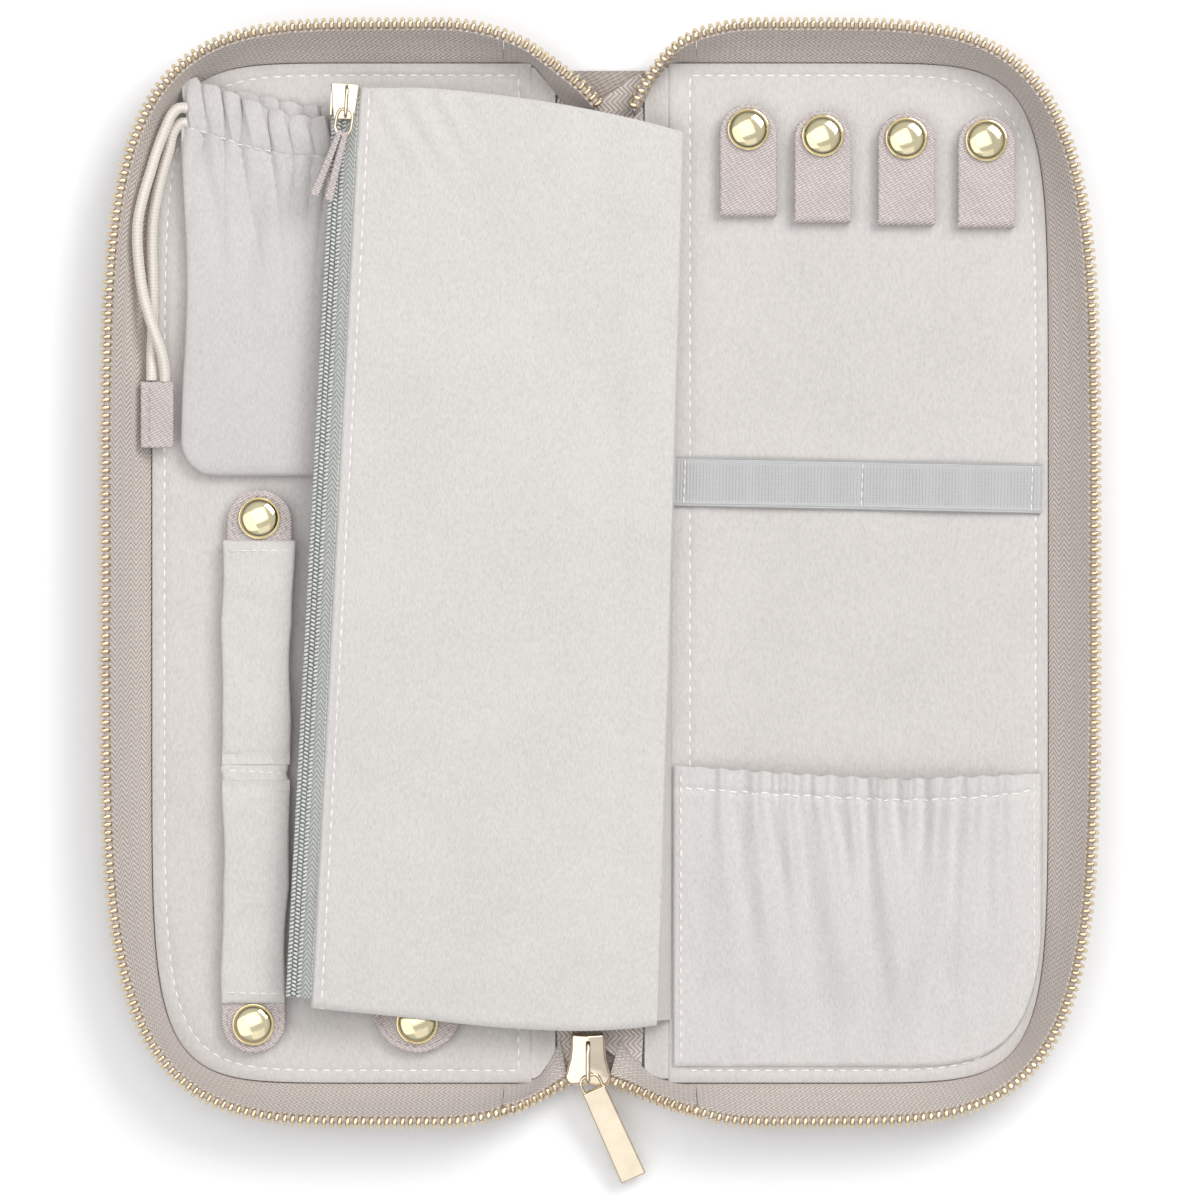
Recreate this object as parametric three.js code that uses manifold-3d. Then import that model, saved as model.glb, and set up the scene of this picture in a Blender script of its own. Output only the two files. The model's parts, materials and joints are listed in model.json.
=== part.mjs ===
// A zip-around travel jewellery case, lying fully open. Millimetres, +Z up.
// X runs across the open case and Y along its height. The origin is the centre of the spine's
// underside. Each half is a shallow dish: leather shell, board, lining and a flaring zip tape
// that carries the metal teeth. Folding the spine a quarter turn and the left half another
// quarter turn closes the case, and the two rows of teeth then meet.

import * as THREE from 'three';
import { mergeVertices } from 'three/addons/utils/BufferGeometryUtils.js';
import Module from 'manifold-3d';

const wasm = await Module();
wasm.setup();

const DEG = Math.PI / 180;
const GAP = 0.3; // air between pieces that touch on the real case

// Heights of the layers
const SPINE_HALF = 15; // centre line to each fold line
const FOLD_Z = 1.35; // height of the two fold lines
const LEATHER_TOP = 1.2;
const BOARD = { bottom: 1.5, top: 3.0 };
const LINING = { bottom: 3.3, top: 4.3 };
const ON_LINING = LINING.top + GAP;
const CHAIN_TOP = SPINE_HALF + FOLD_Z - 0.25; // the rows of teeth almost meet in the closed case
const CHAIN_BOTTOM = CHAIN_TOP - 2.4;

// Outlines of a half in plan: a superellipse about RIM_CENTRE_X whose ends run in to the spine
const RIM_CENTRE_X = 40;
const PANEL_LINE = { reach: 71.5, height: 127, power: 7.5, crown: 0 };
const CHAIN_LINE = { reach: 83.3, height: 136.8, power: 4.6, crown: 0.0105 };
const END_STEPS = 9;
const SIDE_STEPS = 9;
const SHELL_START_X = SPINE_HALF + GAP;
const PANEL_START_X = 17;
const TAPE_START_X = 24;
const TAPE_THICK = 0.8;
const TAPE_FOOT = { offset: 0.9, z: 3.4 };
const CHAIN_HALF_WIDTH = 1.5;

// Spine
const SPINE_HALF_HEIGHT = 126;
const SPINE_PAD = { halfWidth: 13.2, halfHeight: 112, bottom: 1.5, top: 2.5 };
const GUSSET = { halfWidth: 11, inner: 113, outer: 125.5, notch: 118, bottom: 1.5, top: 2.9 };

// Snap fasteners
const SNAP = { capRadius: 5.25, studRadius: 4 };

// Necklace straps on the right half: a loop of leather folded at its lower end
const STRAP = { width: 14.2, length: 27.2, thick: 0.9, snapInset: 6.3, backBottom: ON_LINING };
const STRAP_PLACES = [
  { x: 37.1, foldY: 90 },
  { x: 55.7, foldY: 88.4 },
  { x: 76.6, foldY: 87.8 },
  { x: 96.6, foldY: 87.2 },
];
const STUD_HEIGHT = 0.8;
const STRAP_FLAP_BOTTOM = STRAP.backBottom + STRAP.thick + GAP + STUD_HEIGHT + GAP;

// Elastic band and gathered pocket on the right half
const BAND = { x: 64.5, y: 22, length: 92, width: 12.6, thick: 1, tilt: -1.2 * DEG };
const POCKET = {
  left: 18.3, right: 110.6, bottom: -123.5, top: -50, rise: 4.6, thick: 1, footInset: 3.5,
};

// Ring strap on the left half, sewn down in the middle and snapped at both ends
const RING = {
  upper: { x: -85.2, width: 18.3, length: 54, tabWidth: 16.3, tabLength: 12.6 },
  lower: { x: -86.7, width: 16, length: 53.8, tabWidth: 16, tabLength: 12.4 },
  anchor: { x: -85.9, y: -49.8, width: 17, length: 7.4, top: 8.2 },
};
const PAD_STRIP = { bottom: 6.2, top: 8.8 };
const TAB_THICK = 1.1;
const TAB_SNAP_BACK = 7.4; // snap centre back from the round end of a tab
const HINGE_CLEAR = 0.5;

// Bracelet strap on the left half, under the page
const BRACELET = { x: -45.7, hingeY: 15.3, width: 22.6, length: 115, tabLength: 20 };

// Page: a zipped pocket sewn along the inner edge of the right half, lying over the left half.
// The stiff page starts at innerX from its seam; between the seam and there it is a soft neck.
const PAGE = { seamX: 17.4, seamZ: 10, lift: 3 * DEG, half: 1.05, gap: 0.15, innerX: -34.9 };
const PAGE_HEM = { halfWidth: 0.4, bottomY: -109, topY: 111, bindingHalf: 0.6 };
const PAGE_NECK = { left: -18.9, right: -9.9 };
const PAGE_ZIP = { x: -86.6, y: 7, length: 226, lean: -3 * DEG, width: 6.4, coilWidth: 2.6 };
const PAGE_SLIDER = { y: 110.5, length: 9, half: 3.9 };
const PULLER = { turn: -6 * DEG, loopLength: 6, thongLength: 16.5 };

// Drawstring pouch on the left half
const POUCH = { left: -104.8, right: -38, bottom: 24.2, top: 110.4, low: ON_LINING, high: 9.4 };
const FRILL = { left: -102.6, right: -44, bottom: 110.7, top: 122.6, high: 10.6, waves: 9 };
const CORD_RADIUS = 1.35;
const CORD_STEPS = 40;
const CORD_OUTER_ROUTE = [
  [-103.2, 116.2, 9.4], [-105.2, 116.1, 9.9], [-106.9, 114.4, 11], [-108.3, 111.4, 11.1],
  [-110.4, 106, 11.1], [-112.2, 100, 11.8], [-113.9, 94, 12.9], [-115.1, 88.5, 13.2],
  [-115.4, 83, 12.8], [-115, 76.5, 11.5], [-114.1, 70, 10.7], [-112.8, 65, 11],
  [-111.2, 60, 11.1], [-109.5, 55, 10.2], [-108.8, 51, 9.1], [-108.7, 48.1, 8.2],
];
const CORD_INNER_ROUTE = [
  [-103.2, 112.8, 7.4], [-105, 112.4, 7.5], [-106.8, 110, 7.5], [-107.8, 105.8, 7.4],
  [-109.2, 101, 7.5], [-110.6, 95, 7.9], [-111.7, 88.5, 8.2], [-112, 82.5, 8],
  [-111.9, 76, 7.7], [-111.8, 70.5, 7.5], [-111.8, 65, 7.4], [-111.9, 60, 7.4],
  [-112.1, 55.5, 7.7], [-112.1, 51.5, 8.1], [-112.1, 48.1, 8.2],
];
const CORD_END = { left: -114.8, right: -106.6, bottom: 31.3, top: 47.8, low: 7.3, high: 9.1 };

// Main zip slider and pull, parked on the spine
const SLIDER = { x: -3, axisY: -126, axisZ: 8.7, narrowY: -115.2, wideY: -128.1 };
const SLIDER_PLATES = { low: 3.3, lowTop: 4.3, high: 6.3, highTop: 7.3 };
const BRIDGE = { halfWidth: 0.8, top: 10.2, tunnelTop: 9.5, bottomY: -127.9, topY: -117.2, post: 0.6 };
const PULL = { yaw: 24 * DEG, drop: 12 * DEG, width: 6.2, barStart: 4.6, barEnd: 28.6 };

const COLOURS = {
  leather: 0xcdc0ba,
  leatherDark: 0xb5aaa3,
  lining: 0xdcd8d5,
  page: 0xe0dcd9,
  pocket: 0xd8d4d1,
  board: 0xb9a98c,
  tape: 0xc7beb7,
  gold: 0xd8c79f,
  elastic: 0xc5c5c5,
  greyZip: 0xb9bab6,
  cord: 0xe8e1d9,
};

// ---- Small geometry helpers ----

function material(colour, roughness = 0.85, metalness = 0) {
  return new THREE.MeshStandardMaterial({ color: colour, roughness, metalness });
}

const gold = () => material(COLOURS.gold, 0.25, 1);

function piece(name, geometry, itsMaterial) {
  const mesh = new THREE.Mesh(geometry, itsMaterial);
  mesh.name = name;
  return mesh;
}

function slab(shape, bottom, top, curveSegments = 8) {
  const options = { depth: top - bottom, bevelEnabled: false, curveSegments };
  return new THREE.ExtrudeGeometry(shape, options).translate(0, 0, bottom);
}

// A slab with rounded edges, for padded pieces; its outline stays inside the shape.
function pad(shape, bottom, top, round) {
  const options = {
    depth: top - bottom - 2 * round,
    bevelEnabled: true,
    bevelThickness: round,
    bevelSize: round,
    bevelOffset: -round,
    bevelSegments: 2,
    curveSegments: 6,
  };
  return new THREE.ExtrudeGeometry(shape, options).translate(0, 0, bottom + round);
}

function block(x0, x1, y0, y1, z0, z1) {
  const geometry = new THREE.BoxGeometry(x1 - x0, y1 - y0, z1 - z0);
  return geometry.translate((x0 + x1) / 2, (y0 + y1) / 2, (z0 + z1) / 2);
}

function outline(points) {
  return new THREE.Shape(points.map(([x, y]) => new THREE.Vector2(x, y)));
}

function rectangle(x0, x1, y0, y1) {
  return outline([[x0, y0], [x1, y0], [x1, y1], [x0, y1]]);
}

// A strip from y = start to y = length with a round far end.
function tongue(width, length, start) {
  const shape = new THREE.Shape();
  shape.moveTo(-width / 2, start);
  shape.lineTo(width / 2, start);
  shape.lineTo(width / 2, length - width / 2);
  shape.absarc(0, length - width / 2, width / 2, 0, Math.PI);
  shape.closePath();
  return shape;
}

// A turned piece about Z, from [radius, height] pairs that start and end on the axis.
function turned(profile, segments = 20) {
  const points = profile.map(([radius, height]) => new THREE.Vector2(radius, height));
  return new THREE.LatheGeometry(points, segments).rotateX(Math.PI / 2);
}

function toSolid(geometry) {
  const bare = geometry.clone();
  bare.deleteAttribute('normal');
  bare.deleteAttribute('uv');
  const merged = mergeVertices(bare);
  const vertProperties = merged.attributes.position.array;
  const triVerts = new Uint32Array(merged.index.array);
  return new wasm.Manifold(new wasm.Mesh({ numProp: 3, vertProperties, triVerts }));
}

function toGeometry(solid) {
  const { vertProperties, triVerts } = solid.getMesh();
  const geometry = new THREE.BufferGeometry();
  geometry.setAttribute('position', new THREE.BufferAttribute(vertProperties, 3));
  geometry.setIndex(new THREE.BufferAttribute(triVerts, 1));
  return geometry;
}

function joined(...geometries) {
  const solids = geometries.map(toSolid);
  return toGeometry(solids.reduce((whole, next) => whole.add(next)));
}

function cut(geometry, tool) {
  return toGeometry(toSolid(geometry).subtract(toSolid(tool)));
}

// A closed solid through rings of points with the same count; the end rings are capped.
function loft(rings) {
  const count = rings[0].length;
  const vertices = rings.flat().flatMap((point) => point.toArray());
  const index = [];
  for (let ring = 0; ring < rings.length - 1; ring += 1) {
    for (let i = 0; i < count; i += 1) {
      const a = ring * count + i;
      const b = ring * count + ((i + 1) % count);
      index.push(a, b, b + count, a, b + count, a + count);
    }
  }
  const last = (rings.length - 1) * count;
  for (const [a, b, c] of capFaces(rings[0])) {
    index.push(c, b, a, last + a, last + b, last + c);
  }
  const geometry = new THREE.BufferGeometry();
  geometry.setAttribute('position', new THREE.Float32BufferAttribute(vertices, 3));
  geometry.setIndex(index);
  return geometry;
}

// Triangles of a flat ring, measured along its own horizontal direction and height.
function capFaces(ring) {
  const fromFirst = (point) => planDistance(ring[0], point);
  const far = ring.reduce((best, point) => (fromFirst(point) > fromFirst(best) ? point : best));
  const along = new THREE.Vector2(far.x - ring[0].x, far.y - ring[0].y).normalize();
  const flat = ring.map((point) => {
    const across = (point.x - ring[0].x) * along.x + (point.y - ring[0].y) * along.y;
    return new THREE.Vector2(across, point.z);
  });
  const faces = THREE.ShapeUtils.triangulateShape(flat, []);
  const turnsLeft = THREE.ShapeUtils.area(flat) > 0;
  return faces.map(([a, b, c]) => {
    const area = THREE.ShapeUtils.area([flat[a], flat[b], flat[c]]);
    return area > 0 === turnsLeft ? [a, b, c] : [c, b, a];
  });
}

function planDistance(a, b) {
  return Math.hypot(a.x - b.x, a.y - b.y);
}

// ---- Rim of a half ----

function endHeight(line, x) {
  if (x < RIM_CENTRE_X) {
    return line.height - line.crown * (RIM_CENTRE_X - x) ** 2;
  }
  const share = (x - RIM_CENTRE_X) / line.reach;
  return line.height * (1 - share ** line.power) ** (1 / line.power);
}

function sideReach(line, y) {
  const share = Math.abs(y) / line.height;
  return RIM_CENTRE_X + line.reach * (1 - share ** line.power) ** (1 / line.power);
}

// Points along a rim line from the spine's upper end, round the outside, to its lower end.
function rimPoints(line, startX) {
  const cornerShare = 0.5 ** (1 / line.power);
  const cornerX = RIM_CENTRE_X + line.reach * cornerShare;
  const cornerY = line.height * cornerShare;
  const upper = [];
  for (let i = 0; i <= END_STEPS; i += 1) {
    const x = startX + (cornerX - startX) * Math.sin(90 * DEG * (i / END_STEPS));
    upper.push(new THREE.Vector2(x, endHeight(line, x)));
  }
  for (let i = 1; i < SIDE_STEPS; i += 1) {
    const y = cornerY * Math.cos(90 * DEG * (i / SIDE_STEPS));
    upper.push(new THREE.Vector2(sideReach(line, y), y));
  }
  const middle = new THREE.Vector2(sideReach(line, 0), 0);
  const lower = upper.map((point) => new THREE.Vector2(point.x, -point.y)).reverse();
  return [...upper, middle, ...lower];
}

// The same points, each moved outwards in plan by an offset.
function rimOffset(line, startX, offset) {
  const points = rimPoints(line, startX);
  return points.map((point, i) => {
    const before = points[Math.max(i - 1, 0)];
    const after = points[Math.min(i + 1, points.length - 1)];
    const along = new THREE.Vector2(after.x - before.x, after.y - before.y).normalize();
    const moved = new THREE.Vector2(point.x - along.y * offset, point.y + along.x * offset);
    const isEnd = i === 0 || i === points.length - 1;
    return isEnd ? new THREE.Vector2(point.x, moved.y) : moved;
  });
}

// A band along a rim line with a constant section of [offset, height] pairs.
function rimBand(line, startX, section) {
  const rails = section.map(([offset, z]) => (
    rimOffset(line, startX, offset).map((point) => new THREE.Vector3(point.x, point.y, z))
  ));
  return loft(rails[0].map((_, station) => rails.map((rail) => rail[station])));
}

function panelSlab(startX, inset, bottom, top) {
  return slab(new THREE.Shape(rimOffset(PANEL_LINE, startX, -inset)), bottom, top);
}

// ---- One half of the case ----

const SHELL_RIM_SECTION = [
  [-1, 0], [1.4, 0.2], [3, 1.6], [4, 3.4], [4.3, 5], [3.2, 5], [2.8, 3.6], [1.9, 2.2], [0.6, 1.2],
  [-1, 1.2],
];

function shellGeometry() {
  const floor = panelSlab(SHELL_START_X, 0.5, 0, LEATHER_TOP);
  return joined(floor, rimBand(PANEL_LINE, SHELL_START_X, SHELL_RIM_SECTION));
}

// The tape climbs from the edge of the lining to the row of teeth.
function tapeGeometry() {
  const headOffset = -CHAIN_HALF_WIDTH - GAP;
  const rail = (line, offset, z) => (
    rimOffset(line, TAPE_START_X, offset).map((point) => new THREE.Vector3(point.x, point.y, z))
  );
  const rails = [
    rail(PANEL_LINE, TAPE_FOOT.offset, TAPE_FOOT.z),
    rail(PANEL_LINE, TAPE_FOOT.offset + TAPE_THICK, TAPE_FOOT.z),
    rail(CHAIN_LINE, headOffset, CHAIN_TOP - 1),
    rail(CHAIN_LINE, headOffset - TAPE_THICK, CHAIN_TOP - 1),
  ];
  return loft(rails[0].map((_, station) => rails.map((line) => line[station])));
}

function chainGeometry() {
  const section = [
    [-CHAIN_HALF_WIDTH, CHAIN_BOTTOM],
    [CHAIN_HALF_WIDTH, CHAIN_BOTTOM],
    [CHAIN_HALF_WIDTH, CHAIN_TOP],
    [-CHAIN_HALF_WIDTH, CHAIN_TOP],
  ];
  return rimBand(CHAIN_LINE, TAPE_START_X, section);
}

// Both halves have the same outline, so the left one is the right one turned half way round.
function half(side) {
  const group = new THREE.Group();
  group.add(piece(`${side}_shell`, shellGeometry(), material(COLOURS.leatherDark, 0.6)));
  const board = panelSlab(PANEL_START_X, 0.6, BOARD.bottom, BOARD.top);
  group.add(piece(`${side}_board`, board, material(COLOURS.board, 0.9)));
  const lining = panelSlab(PANEL_START_X, 0, LINING.bottom, LINING.top);
  group.add(piece(`${side}_lining`, lining, material(COLOURS.lining, 0.95)));
  group.add(piece(`${side}_zip_tape`, tapeGeometry(), material(COLOURS.tape, 0.9)));
  group.add(piece(`${side}_zip_chain`, chainGeometry(), gold()));
  group.rotation.z = side === 'left' ? Math.PI : 0;
  return group;
}

// ---- Snap fasteners ----

function snapCap(name, bottom) {
  const r = SNAP.capRadius;
  const profile = [
    [0, 0], [r - 0.3, 0], [r, 0.4], [r - 0.4, 0.9], [r - 1, 0.9], [r - 1.2, 1.2], [r - 2.2, 1.8],
    [r - 3.6, 2.05], [0, 2.1],
  ];
  return piece(name, turned(profile).translate(0, 0, bottom), gold());
}

function snapStud(name, bottom, height) {
  const r = SNAP.studRadius;
  const profile = [
    [0, 0], [r, 0], [r, height * 0.4], [r - 1.4, height * 0.5], [r - 1.4, height], [0, height],
  ];
  return piece(name, turned(profile, 16).translate(0, 0, bottom), gold());
}

// ---- Right half's fittings ----

function necklaceStrap(number, place) {
  const group = new THREE.Group();
  group.position.set(place.x, place.foldY, 0);
  const leather = () => material(COLOURS.leather, 0.6);
  const layer = tongue(STRAP.width, STRAP.length, GAP);
  const backTop = STRAP.backBottom + STRAP.thick;
  const flapTop = STRAP_FLAP_BOTTOM + STRAP.thick;
  group.add(piece(`necklace_strap_back_${number}`, slab(layer, STRAP.backBottom, backTop), leather()));
  group.add(piece(`necklace_strap_flap_${number}`, slab(layer, STRAP_FLAP_BOTTOM, flapTop), leather()));
  const stud = snapStud(`necklace_snap_stud_${number}`, backTop + GAP, STUD_HEIGHT);
  const cap = snapCap(`necklace_snap_cap_${number}`, flapTop + GAP);
  stud.position.y = STRAP.length - STRAP.snapInset;
  cap.position.y = STRAP.length - STRAP.snapInset;
  group.add(stud, cap);
  return group;
}

function elasticBand() {
  const shape = rectangle(-BAND.length / 2, BAND.length / 2, -BAND.width / 2, BAND.width / 2);
  const strip = slab(shape, ON_LINING, ON_LINING + BAND.thick);
  const band = piece('elastic_band', strip, material(COLOURS.elastic));
  band.position.set(BAND.x, BAND.y, 0);
  band.rotation.z = BAND.tilt;
  return band;
}

// The pocket's front: flat on the lining at its sides and foot, standing open along its top edge.
function gatheredPocket() {
  const across = 14;
  const rings = [];
  for (let i = 0; i <= across; i += 1) {
    rings.push(pocketRing(i / across));
  }
  return piece('gathered_pocket', loft(rings), material(COLOURS.pocket, 0.95));
}

function pocketRing(u) {
  const up = 8;
  const x = POCKET.left + (POCKET.right - POCKET.left) * u;
  const bottom = Math.max(POCKET.bottom, POCKET.footInset - endHeight(PANEL_LINE, x));
  const sideFade = 1 - Math.abs(2 * u - 1) ** 4;
  const under = [];
  const over = [];
  for (let i = 0; i <= up; i += 1) {
    const v = i / up;
    const y = bottom + (POCKET.top - bottom) * v;
    const z = ON_LINING + POCKET.rise * sideFade * (1 - (1 - v) ** 2);
    under.push(new THREE.Vector3(x, y, z));
    over.push(new THREE.Vector3(x, y, z + POCKET.thick));
  }
  return [...under, ...over.reverse()];
}

// ---- Left half's fittings ----

// The padded part of a strap, and the leather tab beyond it, both along +Y from the hinge.
function strapPad(width, length) {
  const shape = rectangle(-width / 2, width / 2, HINGE_CLEAR, length);
  return pad(shape, PAD_STRIP.bottom, PAD_STRIP.top, 0.9);
}

function strapTab(width, start, end) {
  return slab(tongue(width, end, start), PAD_STRIP.bottom, PAD_STRIP.bottom + TAB_THICK);
}

// Half of the ring strap: a padded strip, a leather tab at its end and a snap cap on the tab.
// It is built pointing along +Y from its hinge, then turned round for the lower half.
function ringStrapHalf(which, size, hingeY, pointsDown) {
  const group = new THREE.Group();
  group.position.set(size.x, hingeY, 0);
  group.rotation.z = pointsDown ? Math.PI : 0;
  const strip = strapPad(size.width, size.length);
  const tabEnd = size.length + GAP + size.tabLength;
  const tab = strapTab(size.tabWidth, size.length + GAP, tabEnd);
  const cap = snapCap(`ring_snap_cap_${which}`, PAD_STRIP.bottom + TAB_THICK + GAP);
  cap.position.y = tabEnd - TAB_SNAP_BACK + GAP;
  group.add(piece(`ring_strap_${which}`, strip, material(COLOURS.page, 0.95)));
  group.add(piece(`ring_tab_${which}`, tab, material(COLOURS.leather, 0.6)));
  group.add(cap);
  const stud = snapStud(`ring_snap_stud_${which}`, ON_LINING, PAD_STRIP.bottom - GAP - ON_LINING);
  stud.position.y = cap.position.y;
  group.add(stud);
  return group;
}

function ringAnchor() {
  const { x, y, width, length, top } = RING.anchor;
  const shape = rectangle(x - width / 2, x + width / 2, y - length / 2, y + length / 2);
  return piece('ring_strap_anchor', pad(shape, ON_LINING, top, 0.6), material(COLOURS.page, 0.95));
}

function ringStrap() {
  const group = new THREE.Group();
  const { y, length } = RING.anchor;
  group.add(ringAnchor());
  group.add(ringStrapHalf('upper', RING.upper, y + length / 2, false));
  group.add(ringStrapHalf('lower', RING.lower, y - length / 2, true));
  return group;
}

function braceletStrap() {
  const group = new THREE.Group();
  const { x, hingeY, width, length, tabLength } = BRACELET;
  group.position.set(x, hingeY, 0);
  group.rotation.z = Math.PI;
  const strip = strapPad(width, length);
  const tabEnd = length + GAP + tabLength;
  const tab = strapTab(width, length + GAP, tabEnd);
  const cap = snapCap('bracelet_snap_cap', PAD_STRIP.bottom + TAB_THICK + GAP);
  const stud = snapStud('bracelet_snap_stud', ON_LINING, PAD_STRIP.bottom - GAP - ON_LINING);
  cap.position.y = tabEnd - TAB_SNAP_BACK;
  stud.position.y = tabEnd - TAB_SNAP_BACK;
  group.add(piece('bracelet_strap', strip, material(COLOURS.page, 0.95)));
  group.add(piece('bracelet_tab', tab, material(COLOURS.leather, 0.6)));
  group.add(cap, stud);
  return group;
}

function pouchBody() {
  const { left, right, bottom, top, low, high } = POUCH;
  const corner = 9;
  const shape = new THREE.Shape();
  shape.moveTo(left, top);
  shape.lineTo(left, bottom + corner);
  shape.absarc(left + corner, bottom + corner, corner, Math.PI, 1.5 * Math.PI);
  shape.lineTo(right - corner, bottom);
  shape.absarc(right - corner, bottom + corner, corner, 1.5 * Math.PI, 2 * Math.PI);
  shape.lineTo(right, top);
  shape.closePath();
  return piece('pouch_body', pad(shape, low, high, 1.6), material(COLOURS.page, 0.95));
}

// The gathered mouth of the pouch, with a scalloped free edge.
function pouchFrill() {
  const { left, right, bottom, top, high, waves } = FRILL;
  const stepsPerWave = 4;
  const points = [[left, bottom], [right, bottom]];
  for (let i = 0; i <= waves * stepsPerWave; i += 1) {
    const share = i / (waves * stepsPerWave);
    const wave = 0.9 * Math.cos(share * waves * 2 * Math.PI);
    const x = right + (left - right) * share;
    points.push([x, Math.min(top, endHeight(PANEL_LINE, -x) - 1) + wave - 0.9]);
  }
  return piece('pouch_frill', slab(outline(points), ON_LINING, high), material(COLOURS.page, 0.95));
}

function cordStrand(name, route) {
  const path = new THREE.CatmullRomCurve3(route.map((point) => new THREE.Vector3(...point)));
  const section = new THREE.Shape();
  section.absarc(0, 0, CORD_RADIUS, 0, 2 * Math.PI);
  const options = { extrudePath: path, steps: CORD_STEPS, curveSegments: 4, bevelEnabled: false };
  return piece(name, new THREE.ExtrudeGeometry(section, options), material(COLOURS.cord, 0.9));
}

function cordEndTab() {
  const { left, right, bottom, top, low, high } = CORD_END;
  const tab = slab(rectangle(left, right, bottom, top), low, high);
  return piece('cord_end_tab', tab, material(COLOURS.leather, 0.6));
}

function pouch() {
  const group = new THREE.Group();
  group.add(pouchBody(), pouchFrill(), cordEndTab());
  group.add(cordStrand('drawstring_outer', CORD_OUTER_ROUTE));
  group.add(cordStrand('drawstring_inner', CORD_INNER_ROUTE));
  return group;
}

// ---- Page ----

// Local X runs from the seam (0) towards the free edge (negative), local Z is the page's thickness.
function pageShape() {
  const shape = new THREE.Shape();
  shape.moveTo(PAGE.innerX, 118.2);
  shape.quadraticCurveTo(-48.1, 120.1, -62, 121);
  shape.lineTo(-76.5, 121);
  shape.lineTo(-88.6, -108.5);
  shape.lineTo(-60, -111.5);
  shape.quadraticCurveTo(-46.2, -113.2, PAGE.innerX, -113.5);
  shape.closePath();
  return shape;
}

// Tape and coil of the page's zip, in a frame whose Y runs up the zip.
function pageZip() {
  const halfLength = PAGE_ZIP.length / 2;
  const halfTape = PAGE_ZIP.width / 2;
  const halfCoil = PAGE_ZIP.coilWidth / 2;
  const tape = block(-halfTape, halfTape, -halfLength, halfLength, -0.5, 0.5);
  const coil = block(-halfCoil, halfCoil, -halfLength, halfLength, -0.9, 1.1);
  return piece('page_zip', joined(tape, coil), material(COLOURS.greyZip, 0.7));
}

function pageSlider() {
  const { y, length, half: reach } = PAGE_SLIDER;
  const body = block(-reach, 3, y - length / 2, y + length / 2, -2.2, 2.6);
  const bridge = block(-0.9, 0.9, y - length / 2 + 0.6, y + length / 2 - 0.6, 2.6, 4.6);
  const channel = block(-reach + 0.4, 4, y - length, y + length, -1.3, 1.5);
  const tunnel = block(-2, 2, y - length / 2 + 1.4, y + length / 2 - 1.4, 2.6, 4);
  return piece('page_slider', cut(cut(joined(body, bridge), channel), tunnel), gold());
}

// The wire loop hangs on the slider's bridge, and the folded leather thong on the loop.
function pagePuller() {
  const group = new THREE.Group();
  group.position.set(0, PAGE_SLIDER.y - PAGE_SLIDER.length / 2 + 2.2, 3.3);
  group.rotation.z = PULLER.turn;
  const frame = rectangle(-2.4, 2.4, -PULLER.loopLength, 0.5);
  frame.holes.push(rectangle(-1.6, 1.6, -PULLER.loopLength + 0.8, -0.5));
  const thongTop = -PULLER.loopLength - GAP;
  const thongEnd = thongTop - PULLER.thongLength;
  const thong = outline([[-1.9, thongTop], [1.9, thongTop], [2.9, thongEnd], [-2.9, thongEnd]]);
  group.add(piece('page_pull_loop', slab(frame, -0.4, 0.4), gold()));
  group.add(piece('page_pull_thong', slab(thong, -1, 0.8), material(COLOURS.leather, 0.6)));
  return group;
}

function page() {
  const group = new THREE.Group();
  group.position.set(PAGE.seamX, 0, PAGE.seamZ);
  group.rotation.y = PAGE.lift;
  const fabric = () => material(COLOURS.page, 0.95);
  group.add(piece('page_front', slab(pageShape(), PAGE.gap, PAGE.half, 4), fabric()));
  group.add(piece('page_back', slab(pageShape(), -PAGE.half, -PAGE.gap, 4), fabric()));
  const zip = new THREE.Group();
  zip.position.set(PAGE_ZIP.x, PAGE_ZIP.y, 0);
  zip.rotation.z = PAGE_ZIP.lean;
  zip.add(pageZip(), pageSlider(), pagePuller());
  group.add(zip, pageNeck());
  return group;
}

// The strip of soft neck that lies over the spine.
function pageNeck() {
  const { left, right } = PAGE_NECK;
  const { bottomY, topY } = PAGE_HEM;
  const neck = block(left, right, bottomY, topY, -PAGE.half, PAGE.half);
  return piece('page_neck', neck, material(COLOURS.page, 0.95));
}

// The upright hem below the seam, with the seam's bound edge along its top.
function pageHem() {
  const { seamX, seamZ } = PAGE;
  const { halfWidth, bottomY, topY, bindingHalf } = PAGE_HEM;
  const hem = block(seamX - halfWidth, seamX + halfWidth, bottomY, topY, ON_LINING, seamZ);
  const binding = block(-bindingHalf, bindingHalf, bottomY, topY, -bindingHalf, bindingHalf);
  binding.translate(seamX, 0, seamZ);
  return piece('page_hem', joined(hem, binding), material(COLOURS.lining, 0.95));
}

// ---- Spine and main zip slider ----

function gusset(name, direction) {
  const { halfWidth, inner, outer, notch, bottom, top } = GUSSET;
  const shape = outline([
    [-halfWidth, inner], [halfWidth, inner], [halfWidth, outer], [0, notch], [-halfWidth, outer],
  ]);
  const mesh = piece(name, slab(shape, bottom, top), material(COLOURS.tape, 0.9));
  mesh.rotation.z = direction > 0 ? 0 : Math.PI;
  return mesh;
}

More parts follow.
